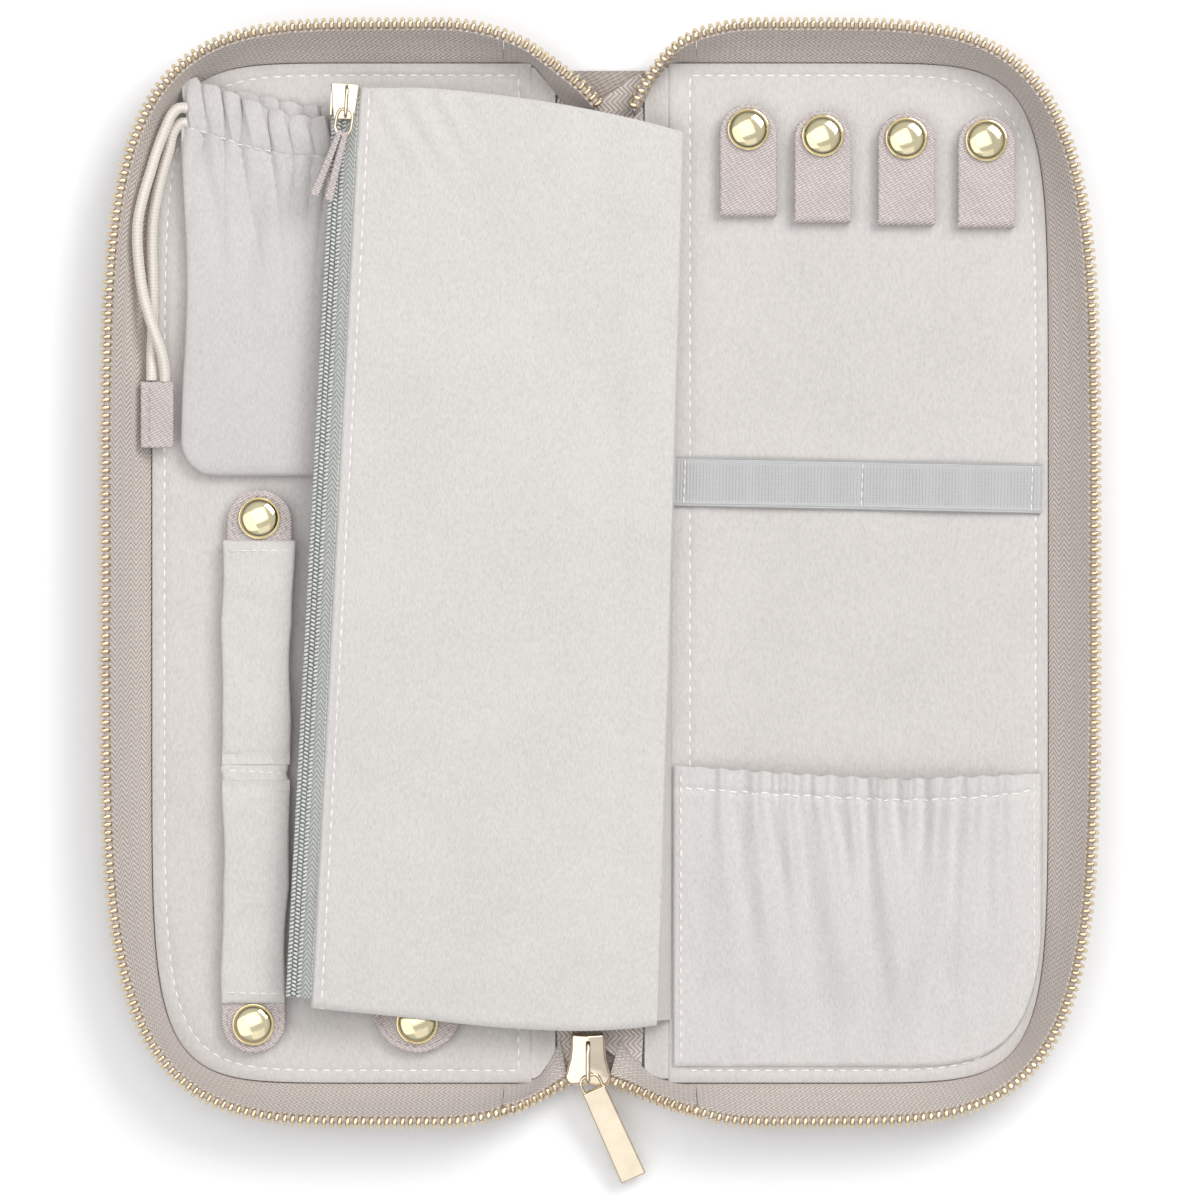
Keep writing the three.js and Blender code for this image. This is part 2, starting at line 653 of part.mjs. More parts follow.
function mainSlider() {
  const { x, narrowY, wideY } = SLIDER;
  const shape = new THREE.Shape();
  shape.moveTo(-3.1, narrowY);
  shape.bezierCurveTo(-3.4, narrowY - 6, -5.4, narrowY - 7, -5.5, wideY + 1.5);
  shape.quadraticCurveTo(-5.5, wideY, -4.2, wideY);
  shape.lineTo(4.2, wideY);
  shape.quadraticCurveTo(5.5, wideY, 5.5, wideY + 1.5);
  shape.bezierCurveTo(5.4, narrowY - 7, 3.4, narrowY - 6, 3.1, narrowY);
  shape.closePath();
  const lower = slab(shape, SLIDER_PLATES.low, SLIDER_PLATES.lowTop, 5);
  const upper = slab(shape, SLIDER_PLATES.high, SLIDER_PLATES.highTop, 5);
  const dividerLow = SLIDER_PLATES.low + 0.2;
  const dividerHigh = SLIDER_PLATES.highTop - 0.2;
  const divider = block(-1.4, 1.4, wideY + 0.4, wideY + 5, dividerLow, dividerHigh);
  const { halfWidth, top, bottomY, topY, tunnelTop, post } = BRIDGE;
  const arch = block(-halfWidth, halfWidth, bottomY, topY, SLIDER_PLATES.highTop - 0.2, top);
  const tunnel = block(-2, 2, bottomY + post, topY - post, SLIDER_PLATES.highTop, tunnelTop);
  const body = joined(lower, upper, divider, cut(arch, tunnel));
  body.translate(x, 0, 0);
  return piece('main_slider', body, gold());
}

// The flat pull hangs by its eye from the slider's bridge and rests beyond the spine's end.
function mainPull() {
  const { yaw, drop, width, barStart, barEnd } = PULL;
  const eye = new THREE.Shape();
  eye.moveTo(-3, 0.6);
  eye.lineTo(-3, -barStart);
  eye.lineTo(3, -barStart);
  eye.lineTo(3, 0.6);
  eye.closePath();
  eye.holes.push(rectangle(-2, 2, -3.6, -0.6));
  const ring = slab(eye, -0.5, 0.5);
  const bar = slab(rectangle(-width / 2, width / 2, -barEnd, -barStart + 0.2), -1, 1.1);
  const pull = piece('main_pull', joined(ring, bar), gold());
  pull.position.set(SLIDER.x, SLIDER.axisY, SLIDER.axisZ);
  pull.rotation.set(drop, 0, yaw, 'ZXY');
  return pull;
}

function spine() {
  const group = new THREE.Group();
  const halfWidth = SPINE_HALF - GAP;
  const cover = block(-halfWidth, halfWidth, -SPINE_HALF_HEIGHT, SPINE_HALF_HEIGHT, 0, LEATHER_TOP);
  const { halfWidth: padWidth, halfHeight, bottom, top } = SPINE_PAD;
  const lining = block(-padWidth, padWidth, -halfHeight, halfHeight, bottom, top);
  group.add(piece('spine_cover', cover, material(COLOURS.leatherDark, 0.6)));
  group.add(piece('spine_lining', lining, material(COLOURS.lining, 0.95)));
  group.add(gusset('spine_top_gusset', 1), gusset('spine_bottom_gusset', -1));
  group.add(mainSlider(), mainPull());
  return group;
}

// ---- The whole case ----

const jewelleryCase = new THREE.Group();
jewelleryCase.add(half('right'), half('left'), spine());
STRAP_PLACES.forEach((place, i) => jewelleryCase.add(necklaceStrap(i + 1, place)));
jewelleryCase.add(elasticBand(), gatheredPocket());
jewelleryCase.add(ringStrap(), braceletStrap(), pouch());
jewelleryCase.add(pageHem(), page());

export default jewelleryCase;
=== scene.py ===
import json
import math

import bmesh
import bpy
import numpy as np
from mathutils import Matrix, Vector, noise


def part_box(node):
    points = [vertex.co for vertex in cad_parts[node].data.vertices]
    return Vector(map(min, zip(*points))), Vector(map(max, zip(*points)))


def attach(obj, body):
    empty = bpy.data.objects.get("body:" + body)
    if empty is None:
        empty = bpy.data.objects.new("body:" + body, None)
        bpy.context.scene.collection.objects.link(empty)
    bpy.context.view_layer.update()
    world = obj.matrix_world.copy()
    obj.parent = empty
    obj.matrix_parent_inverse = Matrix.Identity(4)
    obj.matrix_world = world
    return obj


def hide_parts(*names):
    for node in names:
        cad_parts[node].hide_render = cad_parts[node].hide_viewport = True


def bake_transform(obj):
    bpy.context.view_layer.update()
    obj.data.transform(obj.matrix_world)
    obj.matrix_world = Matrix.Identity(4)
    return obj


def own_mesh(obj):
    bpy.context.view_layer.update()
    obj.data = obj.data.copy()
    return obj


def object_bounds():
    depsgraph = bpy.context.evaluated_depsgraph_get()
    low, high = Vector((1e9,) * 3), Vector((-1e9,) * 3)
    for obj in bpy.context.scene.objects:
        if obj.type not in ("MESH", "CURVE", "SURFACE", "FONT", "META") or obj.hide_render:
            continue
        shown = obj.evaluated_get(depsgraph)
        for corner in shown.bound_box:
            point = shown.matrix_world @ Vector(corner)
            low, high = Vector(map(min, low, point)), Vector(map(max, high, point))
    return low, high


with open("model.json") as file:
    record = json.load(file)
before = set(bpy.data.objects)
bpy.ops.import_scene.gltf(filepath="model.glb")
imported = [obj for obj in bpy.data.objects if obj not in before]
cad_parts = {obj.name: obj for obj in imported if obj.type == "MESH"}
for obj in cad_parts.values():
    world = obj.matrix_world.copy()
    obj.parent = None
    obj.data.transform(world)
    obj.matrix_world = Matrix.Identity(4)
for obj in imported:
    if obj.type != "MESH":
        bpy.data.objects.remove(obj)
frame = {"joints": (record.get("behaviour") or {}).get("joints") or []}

CAD_BOUNDS = [list(corner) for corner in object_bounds()]
MM = 0.001
JOINTS = {joint["name"]: joint for joint in frame["joints"]}


def box_mm(node):
    low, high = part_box(node)
    return np.array(low) / MM, np.array(high) / MM


def joint_mm(name):
    return np.array(JOINTS[name]["pos_m"]) / MM


# ---- Camera: straight above, far away, 300 mm across the frame ----

CAMERA_HEIGHT = 2.0
FRAME_WIDTH = 0.3
SENSOR_MM = 36
camera_data = bpy.data.cameras.new("camera")
camera_data.sensor_width = SENSOR_MM
camera_data.lens = SENSOR_MM * CAMERA_HEIGHT / FRAME_WIDTH
camera = bpy.data.objects.new("camera", camera_data)
camera.location = (0, -0.00675, CAMERA_HEIGHT + 0.008)
bpy.context.scene.collection.objects.link(camera)
bpy.context.scene.camera = camera


# ---- Material nodes: pitches and bump distances are in metres ----

class Nodes:
    """A small builder for one material's node tree."""

    def __init__(self, name, colour, roughness, metallic=0.0):
        self.material = bpy.data.materials.new(name)
        self.material.use_nodes = True
        self.tree = self.material.node_tree
        self.shader = self.tree.nodes["Principled BSDF"]
        self.set(("Base Color", (*colour, 1)), ("Roughness", roughness), ("Metallic", metallic))
        coordinates = self.tree.nodes.new("ShaderNodeTexCoord")
        self.place = coordinates.outputs["Object"]
        self.uv = coordinates.outputs["UV"]

    def set(self, *settings):
        for name, value in settings:
            self.shader.inputs[name].default_value = value

    def link(self, source, target):
        self.tree.links.new(source, target)

    def noise(self, scale, detail=3, place=None, stretch=None):
        node = self.tree.nodes.new("ShaderNodeTexNoise")
        node.inputs["Scale"].default_value = scale
        node.inputs["Detail"].default_value = detail
        source = place or self.place
        if stretch:
            source = self.mapped(source, scale=stretch)
        self.link(source, node.inputs["Vector"])
        return node.outputs["Fac"]

    def mapped(self, source, turn=0.0, scale=(1, 1, 1)):
        node = self.tree.nodes.new("ShaderNodeMapping")
        node.inputs["Rotation"].default_value = (0, 0, turn)
        node.inputs["Scale"].default_value = scale
        self.link(source, node.inputs["Vector"])
        return node.outputs["Vector"]

    def wave(self, pitch, turn=0.0, distortion=0.0, place=None, direction="X"):
        node = self.tree.nodes.new("ShaderNodeTexWave")
        node.bands_direction = direction
        node.inputs["Scale"].default_value = 2 * math.pi / (20 * pitch)
        node.inputs["Distortion"].default_value = distortion
        node.inputs["Detail"].default_value = 1
        node.inputs["Detail Scale"].default_value = 1.5
        self.link(self.mapped(place or self.place, turn), node.inputs["Vector"])
        return node.outputs["Fac"]

    def math(self, operation, first, second=None):
        node = self.tree.nodes.new("ShaderNodeMath")
        node.operation = operation
        for socket, value in zip(node.inputs, (first, second)):
            if isinstance(value, (int, float)):
                socket.default_value = value
            elif value is not None:
                self.link(value, socket)
        return node.outputs["Value"]

    def total(self, first, weight, second, other_weight):
        """The weighted sum of two factors."""
        weighted = self.math("MULTIPLY", first, weight)
        return self.math("ADD", weighted, self.math("MULTIPLY", second, other_weight))

    def split(self, source):
        node = self.tree.nodes.new("ShaderNodeSeparateXYZ")
        self.link(source, node.inputs["Vector"])
        return node.outputs

    def colours(self, factor, *stops):
        node = self.tree.nodes.new("ShaderNodeValToRGB")
        ramp = node.color_ramp
        for element, (position, colour) in zip(ramp.elements, (stops[0], stops[-1])):
            element.position = position
            element.color = (*colour, 1)
        for position, colour in stops[1:-1]:
            ramp.elements.new(position).color = (*colour, 1)
        self.link(factor, node.inputs["Fac"])
        self.link(node.outputs["Color"], self.shader.inputs["Base Color"])

    def bump(self, height, strength, distance):
        node = self.tree.nodes.new("ShaderNodeBump")
        node.inputs["Strength"].default_value = strength
        node.inputs["Distance"].default_value = distance
        self.link(height, node.inputs["Height"])
        self.link(node.outputs["Normal"], self.shader.inputs["Normal"])


def shade(colour, factor):
    return tuple(min(1.0, channel * factor) for channel in colour)


def brushed_fabric(name, colour, fibre=2600, depth=0.00012):
    """Microfibre with short combed fibres, faint nap patches and a fine thread grain."""
    nodes = Nodes(name, colour, 0.95)
    fibres = nodes.noise(fibre, 2, stretch=(1, 0.35, 1))
    patches = nodes.noise(45, 2)
    naps = nodes.noise(1500, 3, stretch=(1, 0.5, 1))
    tone = nodes.total(nodes.total(fibres, 0.5, naps, 0.35), 1.0, patches, 0.15)
    nodes.colours(tone, (0.36, shade(colour, 0.9)), (0.5, colour), (0.64, shade(colour, 1.08)))
    nodes.bump(nodes.math("ADD", fibres, naps), 0.5, depth)
    nodes.set(("Sheen Weight", 0.25), ("Sheen Roughness", 0.6), ("Specular IOR Level", 0.2))
    return nodes.material


def cross_grain(name, colour, pitch=0.00062):
    """Leather pressed with two crossing sets of fine ridges."""
    nodes = Nodes(name, colour, 0.5)
    first = nodes.wave(pitch, math.radians(62), 2.5)
    second = nodes.wave(pitch * 1.9, math.radians(-35), 3.5)
    ridges = nodes.total(first, 0.7, second, 0.3)
    wear = nodes.noise(120, 4)
    tone = nodes.total(ridges, 0.65, wear, 0.35)
    nodes.colours(tone, (0.28, shade(colour, 0.74)), (0.5, colour), (0.74, shade(colour, 1.17)))
    nodes.bump(ridges, 0.9, 0.0003)
    nodes.set(("Specular IOR Level", 0.4))
    return nodes.material


def herringbone(name, colour):
    """Woven tape: slanting ribs that turn back every 2 mm across the tape. UVs are in mm."""
    nodes = Nodes(name, colour, 0.85)
    along, across, _ = nodes.split(nodes.uv)
    zigzag = nodes.math("PINGPONG", across, 2.0)
    phase = nodes.math("MULTIPLY", nodes.math("ADD", along, zigzag), 2 * math.pi / 1.3)
    ribs = nodes.math("MULTIPLY", nodes.math("ADD", nodes.math("SINE", phase), 1), 0.5)
    threads = nodes.noise(7000, 2)
    tone = nodes.total(ribs, 0.5, threads, 0.5)
    nodes.colours(tone, (0.28, shade(colour, 0.7)), (0.5, colour), (0.72, shade(colour, 1.2)))
    nodes.bump(tone, 0.9, 0.0005)
    nodes.set(("Sheen Weight", 0.15), ("Specular IOR Level", 0.25))
    return nodes.material


def polished_gold(name, colour, roughness):
    """Pale gold plating with faint polishing marks and a little tarnish."""
    nodes = Nodes(name, colour, roughness, 1.0)
    marks = nodes.noise(900, 3, stretch=(1, 6, 1))
    tarnish = nodes.noise(150, 3)
    nodes.colours(tarnish, (0.3, shade(colour, 0.88)), (0.6, colour), (0.8, shade(colour, 1.05)))
    nodes.bump(marks, 0.06, 0.0001)
    return nodes.material


def plaited(name, colour):
    """Braided cord: two crossing spirals of thread. UVs are turns round and pitches along."""
    nodes = Nodes(name, colour, 0.85)
    along, around, _ = nodes.split(nodes.uv)
    spirals = []
    for operation in ("ADD", "SUBTRACT"):
        turns = nodes.math(operation, along, around)
        spirals.append(nodes.math("SINE", nodes.math("MULTIPLY", turns, 4 * math.pi)))
    weave = nodes.math("MULTIPLY", nodes.math("ADD", nodes.math("MULTIPLY", *spirals), 1), 0.5)
    fuzz = nodes.noise(6000, 2)
    tone = nodes.total(weave, 0.5, fuzz, 0.5)
    nodes.colours(tone, (0.2, shade(colour, 0.82)), (0.55, colour), (0.85, shade(colour, 1.08)))
    nodes.bump(tone, 0.7, 0.0002)
    nodes.set(("Sheen Weight", 0.2))
    return nodes.material


def ribbed_elastic(name, colour):
    nodes = Nodes(name, colour, 0.8)
    threads = nodes.wave(0.00045, math.radians(90), 1.0)
    fuzz = nodes.noise(5000, 2)
    tone = nodes.total(threads, 0.4, fuzz, 0.6)
    nodes.colours(tone, (0.25, shade(colour, 0.85)), (0.5, colour), (0.8, shade(colour, 1.12)))
    nodes.bump(tone, 0.5, 0.00012)
    nodes.set(("Specular IOR Level", 0.35))
    return nodes.material


def nylon(name, colour):
    nodes = Nodes(name, colour, 0.4)
    shine = nodes.noise(700, 2)
    nodes.colours(shine, (0.3, shade(colour, 0.85)), (0.7, shade(colour, 1.1)))
    nodes.bump(nodes.noise(5000, 1), 0.15, 0.0001)
    return nodes.material


LOOK = {
    "lining_fabric": brushed_fabric("lining", (0.605, 0.575, 0.55)),
    "page_fabric": brushed_fabric("page", (0.633, 0.604, 0.577)),
    "pocket_fabric": brushed_fabric("pocket", (0.62, 0.594, 0.573)),
    "pouch_fabric": brushed_fabric("pouch", (0.585, 0.56, 0.545)),
    "shell_leather": cross_grain("shell", (0.43, 0.37, 0.335), 0.0009),
    "strap_leather": cross_grain("strap", (0.645, 0.57, 0.55)),
    "zip_tape": herringbone("tape", (0.70, 0.62, 0.57)),
    "coil_zip": herringbone("zip_cloth", (0.50, 0.51, 0.485)),
    "gold_teeth": polished_gold("teeth", (0.78, 0.64, 0.44), 0.26),
    "gold_metal": polished_gold("gold", (0.88, 0.76, 0.59), 0.12),
    "cord": plaited("cord", (0.80, 0.74, 0.67)),
    "elastic": ribbed_elastic("elastic", (0.52, 0.52, 0.515)),
}
THREAD = brushed_fabric("thread", (0.90, 0.88, 0.85), 5000)
LEATHER_THREAD = brushed_fabric("leather_thread", (0.40, 0.34, 0.31), 5000)
COIL = nylon("coil", (0.70, 0.71, 0.69))
SNAP_GOLD = polished_gold("snap_gold", (0.78, 0.69, 0.45), 0.1)
BOARD = brushed_fabric("board", (0.40, 0.33, 0.24), 900)


# ---- Mesh helpers: all coordinates in mm until the mesh is made ----

def mesh_object(name, vertices, faces, look, uv=None, sharp=40.0):
    mesh = bpy.data.meshes.new(name)
    mesh.from_pydata((np.asarray(vertices, float) * MM).tolist(), [], faces)
    mesh.validate()
    builder = bmesh.new()
    builder.from_mesh(mesh)
    bmesh.ops.recalc_face_normals(builder, faces=builder.faces)
    builder.to_mesh(mesh)
    builder.free()
    if uv is not None:
        layer = mesh.uv_layers.new(name="UVMap")
        corners = np.empty(len(mesh.loops), np.int32)
        mesh.loops.foreach_get("vertex_index", corners)
        layer.data.foreach_set("uv", np.asarray(uv, np.float32)[corners].ravel())
    mesh.polygons.foreach_set("use_smooth", np.ones(len(mesh.polygons), bool))
    mesh.set_sharp_from_angle(angle=math.radians(sharp))
    mesh.materials.append(look)
    made = bpy.data.objects.new(name, mesh)
    bpy.context.scene.collection.objects.link(made)
    return made


def finish_piece(made, slot, body, *nodes):
    """Hides the CAD nodes that a mesh stands for and attaches the mesh to the body it rides; slot is not
    used.
    """
    if nodes:
        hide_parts(*nodes)
    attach(made, body)


def bend_between(made):
    """Cloth or leather whose placement is baked into its points; it rides no body and does not bend."""
    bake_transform(made)


def closed_grid(top, bottom, uv=None):
    """Vertices and faces of a closed sheet between two grids of points."""
    rows, columns = top.shape[:2]
    count = rows * columns
    vertices = np.concatenate([top.reshape(-1, 3), bottom.reshape(-1, 3)])
    at = np.arange(count).reshape(rows, columns)
    quads = np.stack([at[:-1, :-1], at[1:, :-1], at[1:, 1:], at[:-1, 1:]], -1).reshape(-1, 4)
    faces = quads.tolist() + (quads[:, ::-1] + count).tolist()
    edge = [*at[0], *at[1:, -1], *at[-1, -2::-1], *at[-2:0:-1, 0]]
    for i, first in enumerate(edge):
        second = edge[(i + 1) % len(edge)]
        faces.append([int(first), int(second), int(second) + count, int(first) + count])
    flat = None if uv is None else uv.reshape(-1, 2)
    return vertices, faces, None if uv is None else np.concatenate([flat, flat])


def rounded(share):
    """A quarter circle: 0 at share 0, level from share 1 on."""
    return np.sqrt(np.clip(1 - (1 - np.clip(share, 0, 1)) ** 2, 0, 1))


def dome(u, power):
    """Level in the middle and rounded off towards u = -1 and u = 1."""
    return np.sqrt(np.clip(1 - np.abs(u) ** power, 0, 1))


def curve(places, values):
    """A function that runs straight from each value to the next."""
    return lambda x: np.interp(x, places, values)


def xyz(*parts):
    return np.stack(parts, -1)


def grid(first, last, rows, low, high, columns):
    """Two even parameters for a grid of points: one down the rows, one along the columns."""
    down = np.linspace(first, last, rows)[:, None]
    along = np.linspace(low, high, columns)[None, :]
    return np.broadcast_arrays(down, along)


def between(name, top, bottom, look, uv=None, sharp=40.0):
    """A closed mesh between two grids of points."""
    vertices, faces, made_uv = closed_grid(top, bottom, uv)
    return mesh_object(name, vertices, faces, look, made_uv, sharp)


def cloth(name, top, thick, look, uv=None, sharp=50.0):
    """A closed sheet whose underside lies thick below its top, along the local normal."""
    du = np.gradient(top, axis=0)
    dv = np.gradient(top, axis=1)
    normal = np.cross(du, dv)
    length = np.linalg.norm(normal, axis=-1, keepdims=True)
    normal = normal / np.where(length < 1e-9, 1, length)
    if normal[..., 2].mean() < 0:
        normal = -normal
    return between(name, top, top - normal * thick, look, uv, sharp)


def ring_stack(name, rings, look, sharp=40.0, uv=None):
    """A closed solid through closed rings of equal count, its two ends filled to their middles."""
    count = len(rings[0])
    vertices = np.concatenate([np.concatenate(rings), [rings[0].mean(0)], [rings[-1].mean(0)]])
    index = np.arange(count)
    after = (index + 1) % count
    faces = []
    for k in range(len(rings) - 1):
        low, high = k * count, (k + 1) * count
        faces += np.stack([index + low, after + low, after + high, index + high], 1).tolist()
    first, last = len(rings) * count, len(rings) * count + 1
    top = (len(rings) - 1) * count
    faces += [[first, int(j), int(i)] for i, j in zip(index, after)]
    faces += [[last, int(i) + top, int(j) + top] for i, j in zip(index, after)]
    return mesh_object(name, vertices, faces, look, uv, sharp)


def circle(centre, side, up, radius, count):
    angles = np.linspace(0, 2 * math.pi, count, endpoint=False)[:, None]
    return centre + radius * (side * np.cos(angles) + up * np.sin(angles))


def many(name, template, template_faces, matrices, look, sharp=45.0):
    """One mesh of many copies of a small closed shape, each placed by a 4x4 matrix in mm."""
    base = np.concatenate([template, np.ones((len(template), 1))], 1)
    vertices = np.concatenate([(base @ np.array(m).T)[:, :3] for m in matrices])
    faces = []
    for k in range(len(matrices)):
        faces += [[i + k * len(template) for i in face] for face in template_faces]
    return mesh_object(name, vertices, faces, look, None, sharp)


def stack_template(levels, sides=12, power=3.0):
    """Rounded-rectangle rings from (half x, half y, z) levels, for many()."""
    vertices = []
    for half_x, half_y, z in levels:
        for k in range(sides):
            angle = 2 * math.pi * (k + 0.5) / sides
            c, s = math.cos(angle), math.sin(angle)
            x = half_x * math.copysign(abs(c) ** (2 / power), c)
            y = half_y * math.copysign(abs(s) ** (2 / power), s)
            vertices.append((x, y, z))
    faces = []
    for ring in range(len(levels) - 1):
        for k in range(sides):
            a, b = ring * sides + k, ring * sides + (k + 1) % sides
            faces.append([a, b, b + sides, a + sides])
    faces.append(list(range(sides))[::-1])
    faces.append([(len(levels) - 1) * sides + k for k in range(sides)])
    return np.array(vertices), faces


def turned(degrees, axis="Z"):
    return Matrix.Rotation(math.radians(degrees), 4, axis)


def basis(origin, x_axis, up=(0, 0, 1)):
    """A matrix whose X runs along x_axis and whose Z is as near up as it can be."""
    x = np.array(x_axis, float)
    x /= np.linalg.norm(x)
    y = np.cross(up, x)
    y /= np.linalg.norm(y)
    made = np.eye(4)
    made[:3, 0], made[:3, 1], made[:3, 2], made[:3, 3] = x, y, np.cross(x, y), origin
    return made


def resample(path, count):
    path = np.asarray(path, float)
    steps = np.linalg.norm(np.diff(path, axis=0), axis=1)
    along = np.concatenate([[0], np.cumsum(steps)])
    at = np.linspace(0, along[-1], count)
    return np.stack([np.interp(at, along, path[:, k]) for k in range(path.shape[1])], 1)


def path_length(path):
    return float(np.linalg.norm(np.diff(path, axis=0), axis=1).sum())


STITCH = stack_template(
    [(0.02, 0.1, -0.98), (0.9, 0.75, -0.7), (1, 1, 0), (0.9, 0.75, 0.7), (0.02, 0.1, 0.98)], 8, 2.0)


def stitches(name, path, body, pitch=3.0, length=2.2, radius=0.24, look=None):
    """Thread along a path: one small rounded stitch per pitch, its ends sunk in the cloth."""
    count = max(2, int(path_length(path) / pitch))
    points = resample(path, count * 4 + 1)
    matrices = []
    for k in range(count):
        a, b = points[4 * k + 1], points[4 * k + 3]
        placed = basis((a + b) / 2, b - a)
        along, across, up = placed[:3, :3].T.copy()
        placed[:3, :3] = np.stack([up * radius * 0.8, across * radius, along * length / 2], 1)
        matrices.append(placed)
    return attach(many(name, *STITCH, matrices, look or THREAD, 60), body)


def ripple(x, y, scale, seed=0.0):
    return noise.noise(Vector((x / scale, y / scale, seed)))


def ripples(points, scale, seed=0.0):
    flat = points.reshape(-1, points.shape[-1])
    return np.array([ripple(p[0], p[1], scale, seed) for p in flat]).reshape(points.shape[:-1])


def rounded_box(name, low, high, bevel, look, segments=3, taper=None):
    """A box with rounded edges; taper(x, y, z) may move its points before rounding."""
    builder = bmesh.new()
    bmesh.ops.create_cube(builder, size=1)
    low, high = np.array(low, float), np.array(high, float)
    for vertex in builder.verts:
        point = low + (high - low) * (np.array(vertex.co) + 0.5)
        vertex.co = Vector(taper(*point) if taper else point) * MM
    bmesh.ops.bevel(builder, geom=list(builder.edges), offset=bevel * MM, segments=segments,
                    profile=0.6, affect="EDGES")
    mesh = bpy.data.meshes.new(name)
    builder.to_mesh(mesh)
    builder.free()
    mesh.polygons.foreach_set("use_smooth", np.ones(len(mesh.polygons), bool))
    mesh.set_sharp_from_angle(angle=math.radians(35))
    mesh.materials.append(look)
    made = bpy.data.objects.new(name, mesh)
    bpy.context.scene.collection.objects.link(made)
    return made


def merge(name, *objects):
    """Joins finished objects into the first and renames it."""
    bpy.ops.object.select_all(action="DESELECT")
    for each in objects:
        each.select_set(True)
    bpy.context.view_layer.objects.active = objects[0]
    bpy.ops.object.join()
    objects[0].name = name
    objects[0].data.name = name
    return objects[0]


def moved(made, matrix_mm):
    """Applies a matrix in mm to a mesh object's own points."""
    matrix = Matrix(matrix_mm.tolist())
    matrix.translation = matrix.translation * MM
    made.data.transform(matrix)
    return made


# ---- Drawstring cords of the pouch ----

CORD_RADIUS = 1.35
CORD_OUTER_ROUTE = [
    [-103.2, 116.2, 9.4], [-105.2, 116.1, 9.9], [-106.9, 114.4, 11], [-108.3, 111.4, 11.1],
    [-110.4, 106, 11.1], [-112.2, 100, 11.8], [-113.9, 94, 12.9], [-115.1, 88.5, 13.2],
    [-115.4, 83, 12.8], [-115, 76.5, 11.5], [-114.1, 70, 10.7], [-112.8, 65, 11],
    [-111.2, 60, 11.1], [-109.5, 55, 10.2], [-108.8, 51, 9.1], [-108.7, 48.1, 8.2],
]
CORD_INNER_ROUTE = [
    [-103.2, 112.8, 7.4], [-105, 112.4, 7.5], [-106.8, 110, 7.5], [-107.8, 105.8, 7.4],
    [-109.2, 101, 7.5], [-110.6, 95, 7.9], [-111.7, 88.5, 8.2], [-112, 82.5, 8],
    [-111.9, 76, 7.7], [-111.8, 70.5, 7.5], [-111.8, 65, 7.4], [-111.9, 60, 7.4],
    [-112.1, 55.5, 7.7], [-112.1, 51.5, 8.1], [-112.1, 48.1, 8.2],
]


def smooth_route(route, steps=14):
    """A centripetal Catmull-Rom line through the route's points."""
    points = np.array(route, float)
    points = np.concatenate([[2 * points[0] - points[1]], points, [2 * points[-1] - points[-2]]])
    line = []
    for a, b, c, d in zip(points, points[1:], points[2:], points[3:]):
        t0 = 0.0
        t1 = t0 + np.linalg.norm(b - a) ** 0.5
        t2 = t1 + np.linalg.norm(c - b) ** 0.5
        t3 = t2 + np.linalg.norm(d - c) ** 0.5
        for t in np.linspace(t1, t2, steps, endpoint=False):
            ab = (t1 - t) / (t1 - t0) * a + (t - t0) / (t1 - t0) * b
            bc = (t2 - t) / (t2 - t1) * b + (t - t1) / (t2 - t1) * c
            cd = (t3 - t) / (t3 - t2) * c + (t - t2) / (t3 - t2) * d
            abc = (t2 - t) / (t2 - t0) * ab + (t - t0) / (t2 - t0) * bc
            bcd = (t3 - t) / (t3 - t1) * bc + (t - t1) / (t3 - t1) * cd
            line.append((t2 - t) / (t2 - t1) * abc + (t - t1) / (t2 - t1) * bcd)
    line.append(points[-2])
    return np.array(line)


def braided_tube(name, line, radius, look):
    """A round cord whose surface rises and falls with its plaited strands."""
    sides = 20
    points = resample(line, 260)
    length = path_length(points)
    tangents = np.gradient(points, axis=0)
    tangents /= np.linalg.norm(tangents, axis=1, keepdims=True)
    rings, uv = [], []
    for k, (point, tangent) in enumerate(zip(points, tangents)):
        side = np.cross(tangent, (0, 0, 1))
        side /= np.linalg.norm(side)
        up = np.cross(side, tangent)
        along = length * k / (len(points) - 1) / 3.4
        ring = []
        for i in range(sides):
            turn = i / sides
            strands = math.sin(4 * math.pi * (along + turn)) * math.sin(4 * math.pi * (along - turn))
            reach = radius * (0.96 + 0.045 * strands)
            angle = 2 * math.pi * turn
            ring.append(point + reach * (side * math.cos(angle) + up * math.sin(angle)))
            uv.append((along, turn))
        rings.append(np.array(ring))
    uv += [(0, 0), (0, 0)]
    return ring_stack(name, rings, look, 70, uv)


# The leather end that both strands are sewn into
low, high = box_mm("cord_end_tab")
cord_tab = rounded_box("cord_end_leather", low, high, 0.55, LOOK["strap_leather"], 3)
finish_piece(cord_tab, "strap_leather", "left_half", "cord_end_tab")
tab_line = np.array([
    [low[0] + 2.2, high[1] - 1.0, high[2] + 0.02], [low[0] + 2.2, low[1] + 1.0, high[2] + 0.02],
])
stitches("cord_end_stitches", tab_line, "left_half", 2.1, 1.5, 0.18, LEATHER_THREAD)

for name, route in (("drawstring_outer", CORD_OUTER_ROUTE), ("drawstring_inner", CORD_INNER_ROUTE)):
    line = smooth_route(route)
    strand = braided_tube(f"{name}_cord", line, CORD_RADIUS, LOOK["cord"])
    finish_piece(strand, "cord", "left_half", name)


# ---- Rim lines of a half ----

RIM_X = 40.0
PANEL = (71.5, 127.0, 7.5, 0.0)
CHAIN = (83.3, 136.8, 4.6, 0.0105)
SHELL_START = 15.3
SHELL_TOP = 1.2
EDGE_FADE = 9
PANEL_START = 17.0
BAND_START = 24.0
RIM_POINTS = 420


